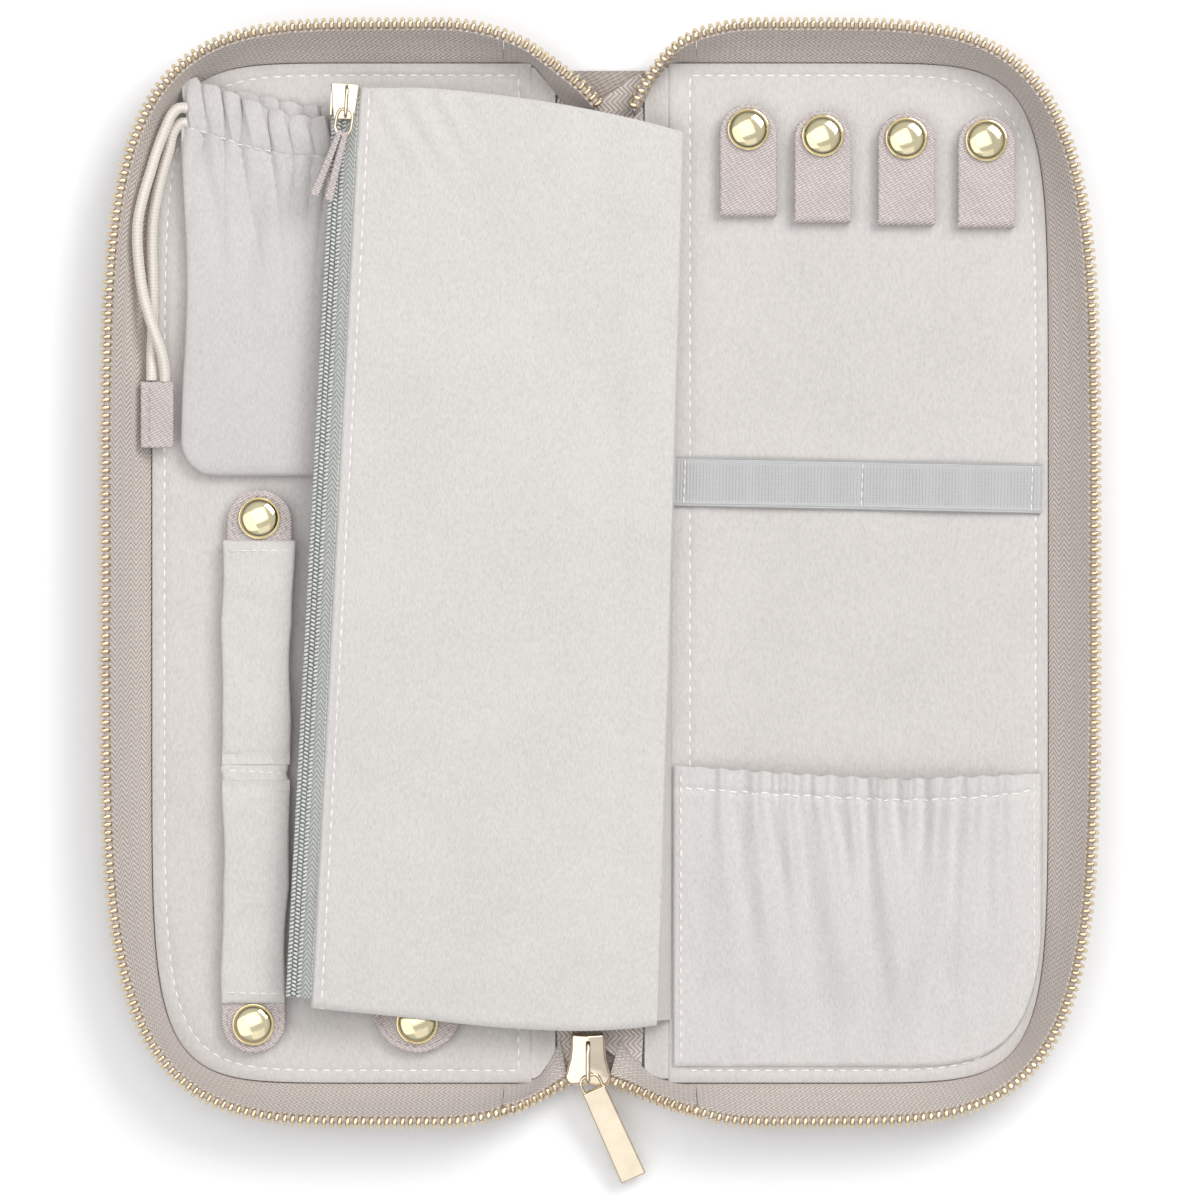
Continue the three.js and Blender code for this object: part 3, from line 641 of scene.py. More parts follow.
def rim_path(line, start, inset=0.0, count=RIM_POINTS):
    """From the upper end near the spine, round the outside, to the lower end."""
    reach, height, power, crown = line
    reach, height = reach - inset, height - inset
    ends = np.linspace(start, RIM_X, 40, endpoint=False)
    corner = 0.5 ** (1 / power)
    over = np.linspace(0, corner, 160)
    down = np.linspace(corner, 0, 160)[1:]
    upper = np.concatenate([
        np.stack([ends, height - crown * (RIM_X - ends) ** 2], 1),
        np.stack([RIM_X + reach * over, height * (1 - over ** power) ** (1 / power)], 1),
        np.stack([RIM_X + reach * (1 - down ** power) ** (1 / power), height * down], 1),
    ])
    lower = upper[-2::-1] * [1, -1]
    return resample(np.concatenate([upper, lower]), count)


def shifted(path, offset):
    along = np.gradient(path, axis=0)
    along /= np.linalg.norm(along, axis=1, keepdims=True)
    return path + np.stack([-along[:, 1], along[:, 0]], 1) * offset


def with_height(path, z):
    return np.column_stack([path, np.full(len(path), z, float)])


def panel_ring(start, inset, inner_inset, z):
    """A closed outline: the rim line and a straight run up the inner edge."""
    path = rim_path(PANEL, start + inner_inset, inset)
    inner = np.linspace(path[-1], path[0], 90)[1:-1]
    return with_height(np.concatenate([path, inner]), z)


def turned_half(points, side):
    """The left half is the right one turned half way round."""
    return points * [-1, -1, 1] if side == "left" else points


def scaled_ring(ring, share, z):
    centre = np.array([64.0, 0.0])
    return with_height(centre + (ring[:, :2] - centre) * share, z)


# ---- Outer leather, boards and linings ----

def half_piece(name, side, rings, look, slot, node):
    """A ring stack of one half, on the side that it belongs to."""
    made = ring_stack(f"{side}_{name}", [turned_half(ring, side) for ring in rings], look)
    finish_piece(made, slot, f"{side}_half", f"{side}_{node}")


def leather_shell(side):
    outline = panel_ring(SHELL_START, 0, 0, 0)
    under = [scaled_ring(outline, share, 0.0) for share in (0.2, 0.6, 0.9)]
    outer = [(1.5, 0.0), (0.2, 0.02), (-1.4, 0.22), (-2.4, 0.9), (-3.1, 1.8), (-3.8, 3.1),
             (-4.2, 4.4), (-4.25, 4.85), (-3.95, 5.1), (-3.5, 5.05), (-3.2, 4.7), (-2.8, 3.5),
             (-1.9, 2.2), (-0.6, 1.25), (1.5, SHELL_TOP)]
    rim = [panel_ring(SHELL_START, inset, 0, z) for inset, z in outer]
    for ring in rim:
        # The raised edge dies away towards the fold and nothing stands up along the fold itself
        share = np.clip((ring[:, 0] - SHELL_START) / EDGE_FADE, 0, 1)
        share = share * share * (3 - 2 * share)
        flat_y = np.sign(ring[:, 1]) * PANEL[1]
        at_end = (np.abs(ring[:, 1]) > PANEL[1] - 2) & (share < 1)
        pulled = flat_y + (ring[:, 1] - flat_y) * (0.12 + 0.88 * share)
        ring[:, 1] = np.where(at_end, pulled, ring[:, 1])
        ring[:, 2] = np.where(at_end, np.minimum(ring[:, 2], 1.6 + 3.7 * share), ring[:, 2])
        ring[RIM_POINTS:, 2] = np.minimum(ring[RIM_POINTS:, 2], SHELL_TOP)
    over = [scaled_ring(outline, share, SHELL_TOP) for share in (0.9, 0.6, 0.2)]
    half_piece("leather", side, under + rim + over, LOOK["shell_leather"], "shell_leather", "shell")
    edge = rim_path(PANEL, SHELL_START + EDGE_FADE)
    seam = turned_half(with_height(shifted(edge, 3.6), 5.14), side)
    stitches(f"{side}_leather_stitches", seam, f"{side}_half", 3.0, 2.1, 0.16, LEATHER_THREAD)


def board(side):
    ring = panel_ring(PANEL_START, 0.6, 0.2, 0)
    rings = [scaled_ring(ring, 0.5, 1.5), with_height(ring[:, :2], 1.5), with_height(ring[:, :2], 3.0),
             scaled_ring(ring, 0.5, 3.0)]
    half_piece("stiffener", side, rings, BOARD, "board", "board")


LINING_STITCH = {"right": (2.4, 5.5), "left": (2.4, 3.4)}  # insets at the rim and at the inner edge


def lining(side):
    rim_inset, inner_inset = LINING_STITCH[side]
    profile = [(-0.4, 0, 3.3), (-0.7, 0, 3.7), (-0.6, 0.15, 4.05), (0, 0.6, 4.34), (1.2, 1.4, 4.42),
               (rim_inset - 0.7, inner_inset - 0.7, 4.36), (rim_inset, inner_inset, 4.02),
               (rim_inset + 0.7, inner_inset + 0.7, 4.36), (rim_inset + 2, inner_inset + 2, 4.46),
               (8, 9, 4.4), (12, 12, 4.38)]
    outline = panel_ring(PANEL_START, 0, 0, 0)
    rings = [scaled_ring(outline, share, 3.3) for share in (0.3, 0.7)]
    rings += [panel_ring(PANEL_START, a, b, z) for a, b, z in profile]
    last = rings[-1]
    inner_shares = (0.93, 0.84, 0.74, 0.62, 0.5, 0.38, 0.26, 0.12)
    rings += [scaled_ring(last, share, 4.38) for share in inner_shares]
    for k in range(9, len(rings)):
        ring, fade = rings[k], min(1.0, (k - 8) / 4)
        ring[:, 2] += fade * (0.16 * ripples(ring, 26, 3.0) + 0.05 * ripples(ring, 9, 7.0))
    half_piece("lining_cloth", side, rings, LOOK["lining_fabric"], "lining_fabric", "lining")
    seam = panel_ring(PANEL_START, rim_inset, inner_inset, 4.16)
    seam = turned_half(np.concatenate([seam, seam[:1]]), side)
    stitches(f"{side}_lining_stitches", seam, f"{side}_half", 3.1, 2.1, 0.25)


for side in ("right", "left"):
    leather_shell(side)
    board(side)
    lining(side)


# ---- Zip tapes and metal teeth round the rim ----

FOOT = (0.9, 3.4)
HEAD = (-1.6, 15.2)
TOOTH_PITCH = 1.95
CHAIN_Z = 14.9
BEAD_RADIUS = 0.75
TAPE_WIDTH, TAPE_THICK = 15.5, 0.7
TOOTH = stack_template(
    [(0.5, 0.3, -1.35), (1.45, 0.56, -1.2), (1.7, 0.66, -0.5), (1.62, 0.62, 0.1), (1.2, 0.56, 0.45),
     (1.15, 0.6, 0.95), (0.95, 0.5, 1.25), (0.45, 0.25, 1.38)], 12, 3.2)


def tape_profile(foot, head, steps):
    """Points from the foot line to the head line, bellied slightly outwards."""
    lines = []
    for share in np.linspace(0, 1, steps):
        line = foot + (head - foot) * share
        line[:, 2] -= 0.9 * math.sin(math.pi * share)
        lines.append(line)
    return np.stack(lines, 1)


def tape_from(name, foot, head, look):
    top = tape_profile(foot, head, 11)
    steps = np.linalg.norm(np.diff(foot + head, axis=0) / 2, axis=1)
    flow = np.concatenate([[0], np.cumsum(steps)])
    top[..., 2] += 0.25 * np.sin(flow / 9.0)[:, None] * np.linspace(0, 1, 11)[None, :] * 0.6
    rise = np.linspace(0, TAPE_WIDTH, 11)
    uv = np.stack(np.broadcast_arrays(flow[:, None], rise[None, :]), -1)
    return cloth(name, top, TAPE_THICK, look, uv)


def teeth_along(name, path, lean=14.0):
    """Separate teeth along a line of points in mm; each leans outwards a little."""
    count = max(2, int(round(path_length(path) / TOOTH_PITCH)))
    points = resample(path, count)
    tangents = np.gradient(points, axis=0)
    matrices = []
    for point, tangent in zip(points, tangents):
        placed = basis(point, tangent)
        tilt = turned(-lean, "Y")
        turn = np.array(turned(90) @ tilt)
        matrices.append(placed @ turn)
    return many(name, TOOTH[0], TOOTH[1], matrices, LOOK["gold_teeth"])


def bead_along(name, path, radius, look):
    """The woven bead that the teeth are clamped on."""
    points = resample(path, max(12, int(path_length(path) / 1.2)))
    tangents = np.gradient(points, axis=0)
    rings = []
    for point, tangent in zip(points, tangents):
        placed = basis(point, tangent)
        rings.append(circle(point, placed[:3, 1], placed[:3, 2], radius, 10))
    return ring_stack(name, rings, look, 60)


for side in ("right", "left"):
    foot = with_height(shifted(rim_path(PANEL, BAND_START), FOOT[0]), FOOT[1])
    head_line = rim_path(CHAIN, BAND_START)
    head = with_height(shifted(head_line, HEAD[0]), HEAD[1])
    tape = tape_from(f"{side}_tape_cloth", turned_half(foot, side), turned_half(head, side),
                     LOOK["zip_tape"])
    finish_piece(tape, "zip_tape", f"{side}_half", f"{side}_zip_tape")
    chain = turned_half(with_height(head_line, CHAIN_Z), side)
    teeth = teeth_along(f"{side}_teeth", chain)
    finish_piece(teeth, "gold_teeth", f"{side}_half", f"{side}_zip_chain")
    bead_line = turned_half(with_height(shifted(head_line, -0.3), 14.5), side)
    bead = bead_along(f"{side}_tape_bead", bead_line, BEAD_RADIUS, LOOK["zip_tape"])
    finish_piece(bead, "zip_tape", f"{side}_half")

# The rows run down from the rim to the spine's two ends: over the top, and into the slider below.
CORNERS = {
    "right_upper": [(24, 134.1, 14.9), (20.5, 132.3, 13.6), (16.8, 129.2, 11.4), (13.6, 125.4, 9),
                    (10.8, 121.4, 7.2), (8.4, 117.2, 6.2)],
    "left_upper": [(-24, 134.1, 14.9), (-19, 132, 13.6), (-13.8, 128.6, 11.4), (-9, 125.2, 9),
                   (-4.4, 121.6, 7.2), (-0.6, 117.6, 6.2)],
    "right_lower": [(24, -134.1, 14.9), (20, -133.2, 13.2), (15.2, -131.6, 10.6), (10.6, -129.8, 8.2),
                    (6.4, -128.3, 6.2), (2.2, -127.0, 5.3)],
    "left_lower": [(-24, -134.1, 14.9), (-21, -133.3, 13.4), (-17.4, -131.8, 10.9), (-14, -130.1, 8.6),
                   (-10.8, -128.5, 6.5), (-8, -127.0, 5.3)],
}
CORNER_FEET = {
    "right_upper": [(24, 127.9, 3.4), (20, 127.8, 3.3), (17, 127.0, 3.0), (13.4, 122.5, 2.8),
                    (11, 118, 2.8), (9, 114.5, 2.8)],
    "left_upper": [(-24, 127.9, 3.4), (-20, 127.8, 3.3), (-17, 127.0, 3.0), (-12.5, 121.5, 2.8),
                   (-8.5, 117.5, 2.8), (-4.5, 113.8, 2.8)],
    "right_lower": [(24, -127.9, 3.4), (20, -127.8, 3.3), (16.6, -126.8, 3.0), (13, -125.5, 2.8),
                    (9, -122, 2.8), (5, -117, 2.8)],
    "left_lower": [(-24, -127.9, 3.4), (-20.5, -127.8, 3.3), (-17.4, -126.9, 3.0), (-15, -125.4, 2.8),
                   (-12.6, -122, 2.8), (-10, -117, 2.8)],
}
for corner, points in CORNERS.items():
    side = corner.split("_")[0]
    line = smooth_route(points, 12)
    foot = resample(smooth_route(CORNER_FEET[corner], 12), 40)
    head = resample(line, 40)
    inward = foot - head
    inward[:, 2] = 0
    inward /= np.linalg.norm(inward, axis=1, keepdims=True)
    tape = tape_from(f"{corner}_corner_tape", foot, head + inward * 1.6 + [0, 0, 0.3], LOOK["zip_tape"])
    teeth = teeth_along(f"{corner}_corner_teeth", line, 6.0)
    bead_line = head + inward * 0.3 - [0, 0, 0.4]
    bead = bead_along(f"{corner}_corner_bead", bead_line, BEAD_RADIUS, LOOK["zip_tape"])
    for made, slot in ((tape, "zip_tape"), (teeth, "gold_teeth"), (bead, "zip_tape")):
        bend_between(made)


# ---- Spine ----

def rounded_sheet(name, x0, x1, y0, y1, bottom, top, look, puff=0.0, edge=0.6):
    """A flat closed sheet with rounded long edges, an optional swell and faint ripples."""
    u, v = grid(0, 1, 24, 0, 1, 120)
    u = 0.5 - 0.5 * np.cos(math.pi * u)
    x, y = x0 + (x1 - x0) * u, y0 + (y1 - y0) * v
    near = np.minimum.reduce([x - x0, x1 - x, (y - y0) * 2 + 0.01, (y1 - y) * 2 + 0.01])
    near = np.clip(near / edge, 0, 1)
    lift = np.sqrt(1 - (1 - near) ** 2)
    swell = puff * np.sin(math.pi * u) ** 0.8
    wave = 0.12 * puff * ripples(xyz(x, y), 11, 2.0)
    middle = (bottom + top) / 2
    half = (top - bottom) / 2 * (0.25 + 0.75 * lift)
    upper = xyz(x, y, middle + half + (swell + wave) * lift)
    return between(name, upper, xyz(x, y, middle - half), look)


low, high = box_mm("spine_cover")
spine_leather = rounded_sheet("spine_leather", low[0] - 0.1, high[0] + 0.1, low[1], high[1], 0, 1.25,
                              LOOK["shell_leather"])
finish_piece(spine_leather, "shell_leather", "spine", "spine_cover")
low, high = box_mm("spine_lining")
spine_cloth = rounded_sheet("spine_lining_cloth", low[0], high[0], low[1], high[1], 1.5, 2.5,
                            LOOK["lining_fabric"], 0.5, 1.0)
finish_piece(spine_cloth, "lining_fabric", "spine", "spine_lining")


def corner_reach(side, end, x):
    """How far from the middle the tape's foot lies at a distance x from the middle."""
    feet = np.abs(np.array(CORNER_FEET[f"{side}_{end}"])[::-1])
    return np.interp(x, feet[:, 0], feet[:, 1])


def fold_strip(name, side, x0, x1, z0, z1, most, thick, slot):
    """A strip of cloth or leather that crosses a fold line."""
    sign = 1 if side == "right" else -1
    u, v = grid(0, 1, 22, 0, 1, 110)
    x = x0 + (x1 - x0) * u
    upper = np.minimum(corner_reach(side, "upper", x) + 0.3, most)
    lower = np.minimum(corner_reach(side, "lower", x) + 0.3, most)
    ease = u * u * (3 - 2 * u)
    top = xyz(sign * x, -lower + (upper + lower) * v, z0 + (z1 - z0) * ease)
    made = cloth(name, top, thick, LOOK[slot])
    bend_between(made)


for side in ("right", "left"):
    fold_strip(f"{side}_fold_leather", side, 12.6, 17.4, 0.22, 0.22, 125.2, 0.45, "shell_leather")
    fold_strip(f"{side}_fold_cloth", side, 11.2, 17.7, 2.9, 4.05, 126.6, 0.5, "lining_fabric")


def gusset(name, node, direction):
    """Cloth at the spine's end, folded into a V towards the middle."""
    u, v = grid(-1, 1, 41, 0, 1, 31)
    outer = 118 + 7.5 * np.abs(u) ** 0.9
    y = 113 + (outer - 113) * v
    z = 1.95 + 0.5 * v * (1 - np.abs(u)) + 0.35 * np.cos(u * 9) * v + 0.35 * v ** 3
    x = 11 * u * (1 - 0.06 * v)
    top = xyz(x, direction * y, z + 0.35)
    made = cloth(name, top, 0.6, LOOK["zip_tape"], xyz(x, y))
    finish_piece(made, "zip_tape", "spine", node)


gusset("upper_gusset_cloth", "spine_top_gusset", 1)
gusset("lower_gusset_cloth", "spine_bottom_gusset", -1)


# ---- Snap fasteners ----

RIGHT, BACK = np.array([1.0, 0, 0]), np.array([0, 1.0, 0])


def lathe(name, profile, centre, look, segments=56):
    rings = []
    for radius, z in profile:
        rings.append(circle(centre + [0, 0, z], RIGHT, BACK, radius, segments))
    return ring_stack(name, rings, look, 32)


def snap_place(node):
    """The middle of a snap part's foot, its radius and its height."""
    low, high = box_mm(node)
    centre = np.array([(low[0] + high[0]) / 2, (low[1] + high[1]) / 2, low[2]])
    return centre, (high[0] - low[0]) / 2, high[2] - low[2]


def snap_cap(node, body):
    centre, reach, _ = snap_place(node)
    dome = reach - 0.38
    profile = [(0.5, 0), (reach - 0.5, 0), (reach - 0.12, 0.12), (reach, 0.34), (reach - 0.1, 0.56),
               (reach - 0.26, 0.6), (dome, 0.5), (dome - 0.08, 0.62)]
    for k in range(1, 9):
        angle = math.radians(90 * k / 8.6)
        profile.append(((dome - 0.1) * math.cos(angle), 0.62 + 1.5 * math.sin(angle)))
    made = lathe(f"{node}_dome", profile, centre, SNAP_GOLD)
    finish_piece(made, "gold_metal", body, node)


def snap_stud(node, body):
    centre, reach, tall = snap_place(node)
    profile = [(0.5, 0), (reach - 0.2, 0), (reach, 0.15 * tall), (reach - 0.15, 0.4 * tall),
               (reach - 1.2, 0.48 * tall), (reach - 1.55, 0.7 * tall), (reach - 1.4, 0.9 * tall),
               (reach - 1.6, tall), (0.6, tall)]
    made = lathe(f"{node}_post", profile, centre, SNAP_GOLD, 40)
    finish_piece(made, "gold_metal", body, node)


# ---- Necklace straps ----

def tongue_outline(width, start, end, count=140):
    """A closed outline: square at start, round at end, in its own X and Y."""
    half = width / 2
    corner = 0.8
    angles = np.linspace(0, math.pi, 40)
    arc = [(half * math.cos(a), end - half + half * math.sin(a)) for a in angles]
    left = [(-half, start + corner), (-half + corner * 0.3, start + corner * 0.3),
            (-half + corner, start)]
    right = [(-x, y) for x, y in left[::-1]]
    return resample(np.array(left + right + arc + left[:1]), count + 1)[:-1]


def soft_tongue(name, place, width, start, end, bottom, top, look, direction=1):
    """A leather tongue with rounded, slightly raised edges."""
    edge = 0.28
    ring = tongue_outline(width, start, end)
    centre = np.array([0.0, (start + end) / 2])
    long_half = (end - start) / 2

    def at(inset, z):
        scale = np.array([1 - inset / (width / 2), 1 - inset / long_half])
        points = centre + (ring - centre) * scale
        return with_height(points, z)

    rings = [at(1.5, bottom), at(edge, bottom), at(0.06, bottom + edge * 0.7), at(0, (bottom + top) / 2),
             at(0.06, top - edge * 0.7), at(edge, top), at(edge + 0.5, top + 0.02), at(1.3, top - 0.09),
             at(2.0, top - 0.03), at(3.2, top), at(width / 2 - 0.8, top)]
    turn = np.array([direction, direction, 1.0])
    rings = [r * turn + [place[0], place[1], 0] for r in rings]
    return ring_stack(name, rings, look, 50)


FOLD_SEGMENTS = 14
for i in range(1, 5):
    low, high = box_mm(f"necklace_strap_back_{i}")
    flap_low, flap_high = box_mm(f"necklace_strap_flap_{i}")
    x, fold_y = (low[0] + high[0]) / 2, low[1] - 0.3
    width = high[0] - low[0]
    leather = LOOK["strap_leather"]
    end = high[1] - fold_y
    back = soft_tongue(f"strap_back_{i}", (x, fold_y), width, 0.1, end, low[2], high[2], leather)
    finish_piece(back, "strap_leather", "right_half", f"necklace_strap_back_{i}")
    flap = soft_tongue(f"strap_flap_{i}", (x, fold_y), width, 0.1, end, flap_low[2], flap_high[2],
                       leather)
    finish_piece(flap, "strap_leather", f"necklace_flap_{i}", f"necklace_strap_flap_{i}")
    middle_z = (low[2] + flap_high[2]) / 2
    outer = (flap_high[2] - low[2]) / 2
    t, across = grid(-math.pi / 2, math.pi / 2, FOLD_SEGMENTS, -width / 2, width / 2, 15)
    top = xyz(x + across, fold_y + 0.5 - 1.35 * np.cos(t), middle_z + outer * np.sin(t))
    inner = xyz(x + across, fold_y + 0.5 - 0.5 * np.cos(t), middle_z + (outer - 0.85) * np.sin(t))
    bend = between(f"strap_fold_{i}", top, inner, leather)
    bend_between(bend)
    snap_cap(f"necklace_snap_cap_{i}", f"necklace_flap_{i}")
    snap_stud(f"necklace_snap_stud_{i}", "right_half")


# ---- Elastic band ----

BAND_TILT = math.radians(-1.2)
band_low, band_high = box_mm("elastic_band")
band_middle = (band_low + band_high) / 2
BAND_LENGTH, BAND_WIDTH = 92.0, 12.6
SEWN_AT = (-43.5, 1.0, 43.5)
u, v = grid(-BAND_LENGTH / 2, BAND_LENGTH / 2, 460, -BAND_WIDTH / 2, BAND_WIDTH / 2, 41)
slack = np.interp(u[:, 0], [-46, -43.5, -22, 1, 23, 43.5, 46], [0, 0, 0.55, 0, 0.6, 0, 0])
slack = np.convolve(np.pad(slack, 20, mode="edge"), np.ones(41) / 41, mode="valid")
ribs = 0.14 * np.cos(2 * math.pi * u / 0.82)
inside = np.clip((BAND_WIDTH / 2 - 1.35 - np.abs(v)) / 0.25, 0, 1)
border = 0.18 * (np.cos(2 * math.pi * (np.abs(v) - BAND_WIDTH / 2 + 0.35) / 0.72) * (1 - inside))
fall = np.sqrt(np.clip(1 - ((np.abs(v) - (BAND_WIDTH / 2 - 0.35)) / 0.36).clip(0) ** 2, 0, 1))
dip = sum(np.exp(-((u - at) / 0.7) ** 2) for at in SEWN_AT)
height = 5.1 + 0.35 * fall + ribs * inside + border + slack[:, None] - 0.14 * dip


def on_band(u, v, z):
    """Points given along and across the band, turned to lie as the band lies."""
    x = band_middle[0] + u * math.cos(BAND_TILT) - v * math.sin(BAND_TILT)
    y = band_middle[1] + u * math.sin(BAND_TILT) + v * math.cos(BAND_TILT)
    return xyz(x, y, z)


band_under = on_band(u, v, np.broadcast_to(4.68 + slack[:, None], u.shape))
band = between("elastic_strip", on_band(u, v, height), band_under, LOOK["elastic"])
finish_piece(band, "elastic", "right_half", "elastic_band")
for k, at in enumerate(SEWN_AT):
    reach = BAND_WIDTH / 2 - 0.5
    sewn = on_band(np.array([at, at + 0.2]), np.array([-reach, reach]), np.full(2, 5.62))
    stitches(f"elastic_stitches_{k + 1}", sewn, "right_half", 2.0, 1.7, 0.2)


# ---- Gathered pocket ----

pocket_low, pocket_high = box_mm("gathered_pocket")
P_LEFT, P_RIGHT = pocket_low[0], pocket_high[0]
P_BOTTOM, P_TOP = pocket_low[1], pocket_high[1]
HEM_AT = 0.925
# Each pleat: where it starts across the pocket, its width, its depth and its slant
PLEATS = [
    (0.13, 0.018, 0.7, 0.05), (0.22, 0.02, 0.9, 0.08), (0.31, 0.016, 0.8, 0.05),
    (0.40, 0.022, 1.1, 0.10), (0.485, 0.018, 1.0, 0.02), (0.56, 0.024, 1.5, 0.05),
    (0.64, 0.02, 1.2, -0.03), (0.72, 0.026, 1.6, -0.09), (0.81, 0.02, 0.9, -0.05),
    (0.89, 0.018, 0.7, -0.02),
]


def pocket_height(u, v):
    side_fade = 1 - np.abs(2 * u - 1) ** 4
    z = 5.6 + 4.0 * side_fade * (1 - (1 - v) ** 2)
    below = np.clip((0.90 - v) / 0.9, 0, 1)
    z += side_fade * 0.5 * np.sin(math.pi * np.clip(v / 0.9, 0, 1)) ** 1.5
    for at, width, deep, slant in PLEATS:
        centre = at + slant * below
        spread = width * (1 + 1.9 * below)
        fade = deep * np.clip(v / 0.35, 0, 1) ** 1.3 * (1 - 0.55 * below)
        off = (u - centre) / spread
        z += 1.25 * fade * (np.exp(-off ** 2) - 0.75 * np.exp(-(off - 1.5) ** 2))
    shirr = np.clip((v - 0.86) / 0.1, 0, 1) * side_fade
    z += 0.2 * shirr * np.sin(2 * math.pi * u * 31 + 3.4 * np.sin(u * 21) + 1.7 * np.sin(u * 47))
    seam = np.exp(-((v - HEM_AT) / 0.010) ** 2)
    return z - 0.6 * seam * side_fade ** 0.3


steps_u, steps_v = 240, 110
u, v = grid(0, 1, steps_u, 0, 1, steps_v)
x = P_LEFT + (P_RIGHT - P_LEFT) * u
panel_line = rim_path(PANEL, PANEL_START)
lower_half = panel_line[len(panel_line) // 2:]
foot_y = np.interp(x[:, 0], lower_half[::-1, 0], lower_half[::-1, 1]) + 3.3
foot_y = np.maximum(foot_y, P_BOTTOM)[:, None]
sag = np.interp(u, [0, 0.06, 0.3, 0.62, 0.95, 1], [1.4, 1.0, -0.6, -2.1, -0.9, -0.6])
top_edge = P_TOP + 0.5 + sag + 0.25 * np.sin(2 * math.pi * u * 17) * (1 - np.abs(2 * u - 1) ** 6)
y = foot_y + (top_edge - foot_y) * v
z = pocket_height(u, v)
crumple = ripples(xyz(x, y), 9, 5.0) * 0.25
crumple = crumple + ripples(xyz(x * 1.6, y * 0.4), 6, 1.0) * 0.35
z = z + crumple * (1 - np.abs(2 * u - 1) ** 8)
edge_fall = np.minimum.reduce([x - P_LEFT, P_RIGHT - x, y - foot_y])
z = np.minimum(z, 4.95 + 0.75 * rounded(edge_fall / 0.9) + edge_fall * 0.45)
surface = xyz(x, y, z)
pocket = cloth("pocket_cloth", surface, 0.55, LOOK["pocket_fabric"])
finish_piece(pocket, "pocket_fabric", "right_half", "gathered_pocket")
hem = surface[6:-6, int(HEM_AT * steps_v)] + [0, 0, 0.1]
pocket_threads = [stitches("pocket_hem_stitches", hem, "right_half", 3.0, 2.0, 0.24)]
for side, row, length, radius in (("left", 5, 1.8, 0.22), ("right", -6, 1.9, 0.16)):
    side_seam = surface[row, 2:-3] + [0, 0, 0.1]
    pocket_threads.append(
        stitches(f"pocket_{side}_stitches", side_seam, "right_half", 2.6, length, radius))


# ---- Page: a zipped pocket that turns about its seam like the leaf of a book ----

SEAM = joint_mm("page_turn")
PAGE_LIFT = math.radians(3)
PAGE_FRAME = np.array(Matrix.Translation(SEAM) @ Matrix.Rotation(PAGE_LIFT, 4, "Y"))
ZIP_FRAME = PAGE_FRAME @ np.array(
    Matrix.Translation((-86.6, 7, 0)) @ turned(-3))
PAGE_INNER = -34.9
PAGE_ROWS = 230
SEAM_SLANT = 3.2 / 111


def placed_in(matrix, points):
    return points @ matrix[:3, :3].T + matrix[:3, 3]


def quadratic(a, b, c, count=30):
    t = np.linspace(0, 1, count)[:, None]
    return (1 - t) ** 2 * np.array(a) + 2 * t * (1 - t) * np.array(b) + t ** 2 * np.array(c)


page_top_line = np.concatenate([
    [(-95, 120.6), (-76.5, 121)],
    quadratic((-62, 121), (-30, 119), (-1.4, 111.5)),
    [(6, 109.4)],
])
page_bottom_line = np.concatenate([
    [(-95, -108.0), (-88.6, -108.5)],
    quadratic((-60, -111.5), (-22, -116.5), (-1.4, -112.6)),
    [(6, -111.6)],
])
page_top_y = curve(page_top_line[:, 0], page_top_line[:, 1])
page_bottom_y = curve(page_bottom_line[:, 0], page_bottom_line[:, 1])


def free_x(y):
    return -83.6 + 0.0524 * (y - 7)


def inner_x(y):
    return np.full_like(y, PAGE_INNER)


def page_wave(x, y):
    """How far the cloth lies above the page's plane."""
    points = xyz(x, y)
    wave = 0.9 * ripples(points, 48, 11.0) + 0.4 * ripples(points, 21, 4.0)
    wave = wave + 0.1 * ripples(points, 7, 8.0)
    pull = np.exp(-((x + 62) / 16) ** 2 - ((y - 112) / 12) ** 2)
    pucker = 0.4 * pull * np.sin((x + 0.55 * (y - 112)) * 0.8)
    crease = -0.7 * np.exp(-((x + 15 + 0.03 * y) / 5.5) ** 2)
    return wave + pucker + crease


def page_grid(left_edge, right_edge, steps_x, steps_y):
    """Points of the page's middle surface, in its own frame, between two edges given as x(y)."""
    u, v = grid(0, 1, steps_x, 0, 1, steps_y)
    y = -110 + 228 * v
    for _ in range(3):
        x = left_edge(y) + (right_edge(y) - left_edge(y)) * u
        y = page_bottom_y(x) + (page_top_y(x) - page_bottom_y(x)) * v
    return x, y


def page_half_thickness(x, y, free):
    """Half the thickness: rounded at the top and bottom edges and fuller at the zip's fold."""
    near = np.minimum(page_top_y(x) - y, y - page_bottom_y(x))
    round_off = rounded(near / 1.1)
    fold = x - free
    roll = 0.4 * np.exp(-((fold - 1.0) / 0.9) ** 2) - 0.4 * np.exp(-((fold - 2.7) / 0.5) ** 2)
    fold_edge = rounded(fold / 0.9)
    return (0.12 + 0.78 * round_off + roll) * (0.2 + 0.8 * fold_edge)


def page_cloth_piece(name, left_edge, right_edge, steps_x):
    x, y = page_grid(left_edge, right_edge, steps_x, PAGE_ROWS)
    lift = page_wave(x, y)
    half = page_half_thickness(x, y, free_x(y))
    over = placed_in(PAGE_FRAME, xyz(x, y, lift + half))
    under = placed_in(PAGE_FRAME, xyz(x, y, lift * 0.5 - half))
    return between(name, over, under, LOOK["page_fabric"])


page_cloth = page_cloth_piece("page_cloth", free_x, inner_x, 120)
finish_piece(page_cloth, "page_fabric", "page", "page_front", "page_back")
page_neck = page_cloth_piece("page_neck_cloth", inner_x, lambda y: SEAM_SLANT * y, 60)
finish_piece(page_neck, "page_fabric", "page", "page_neck")

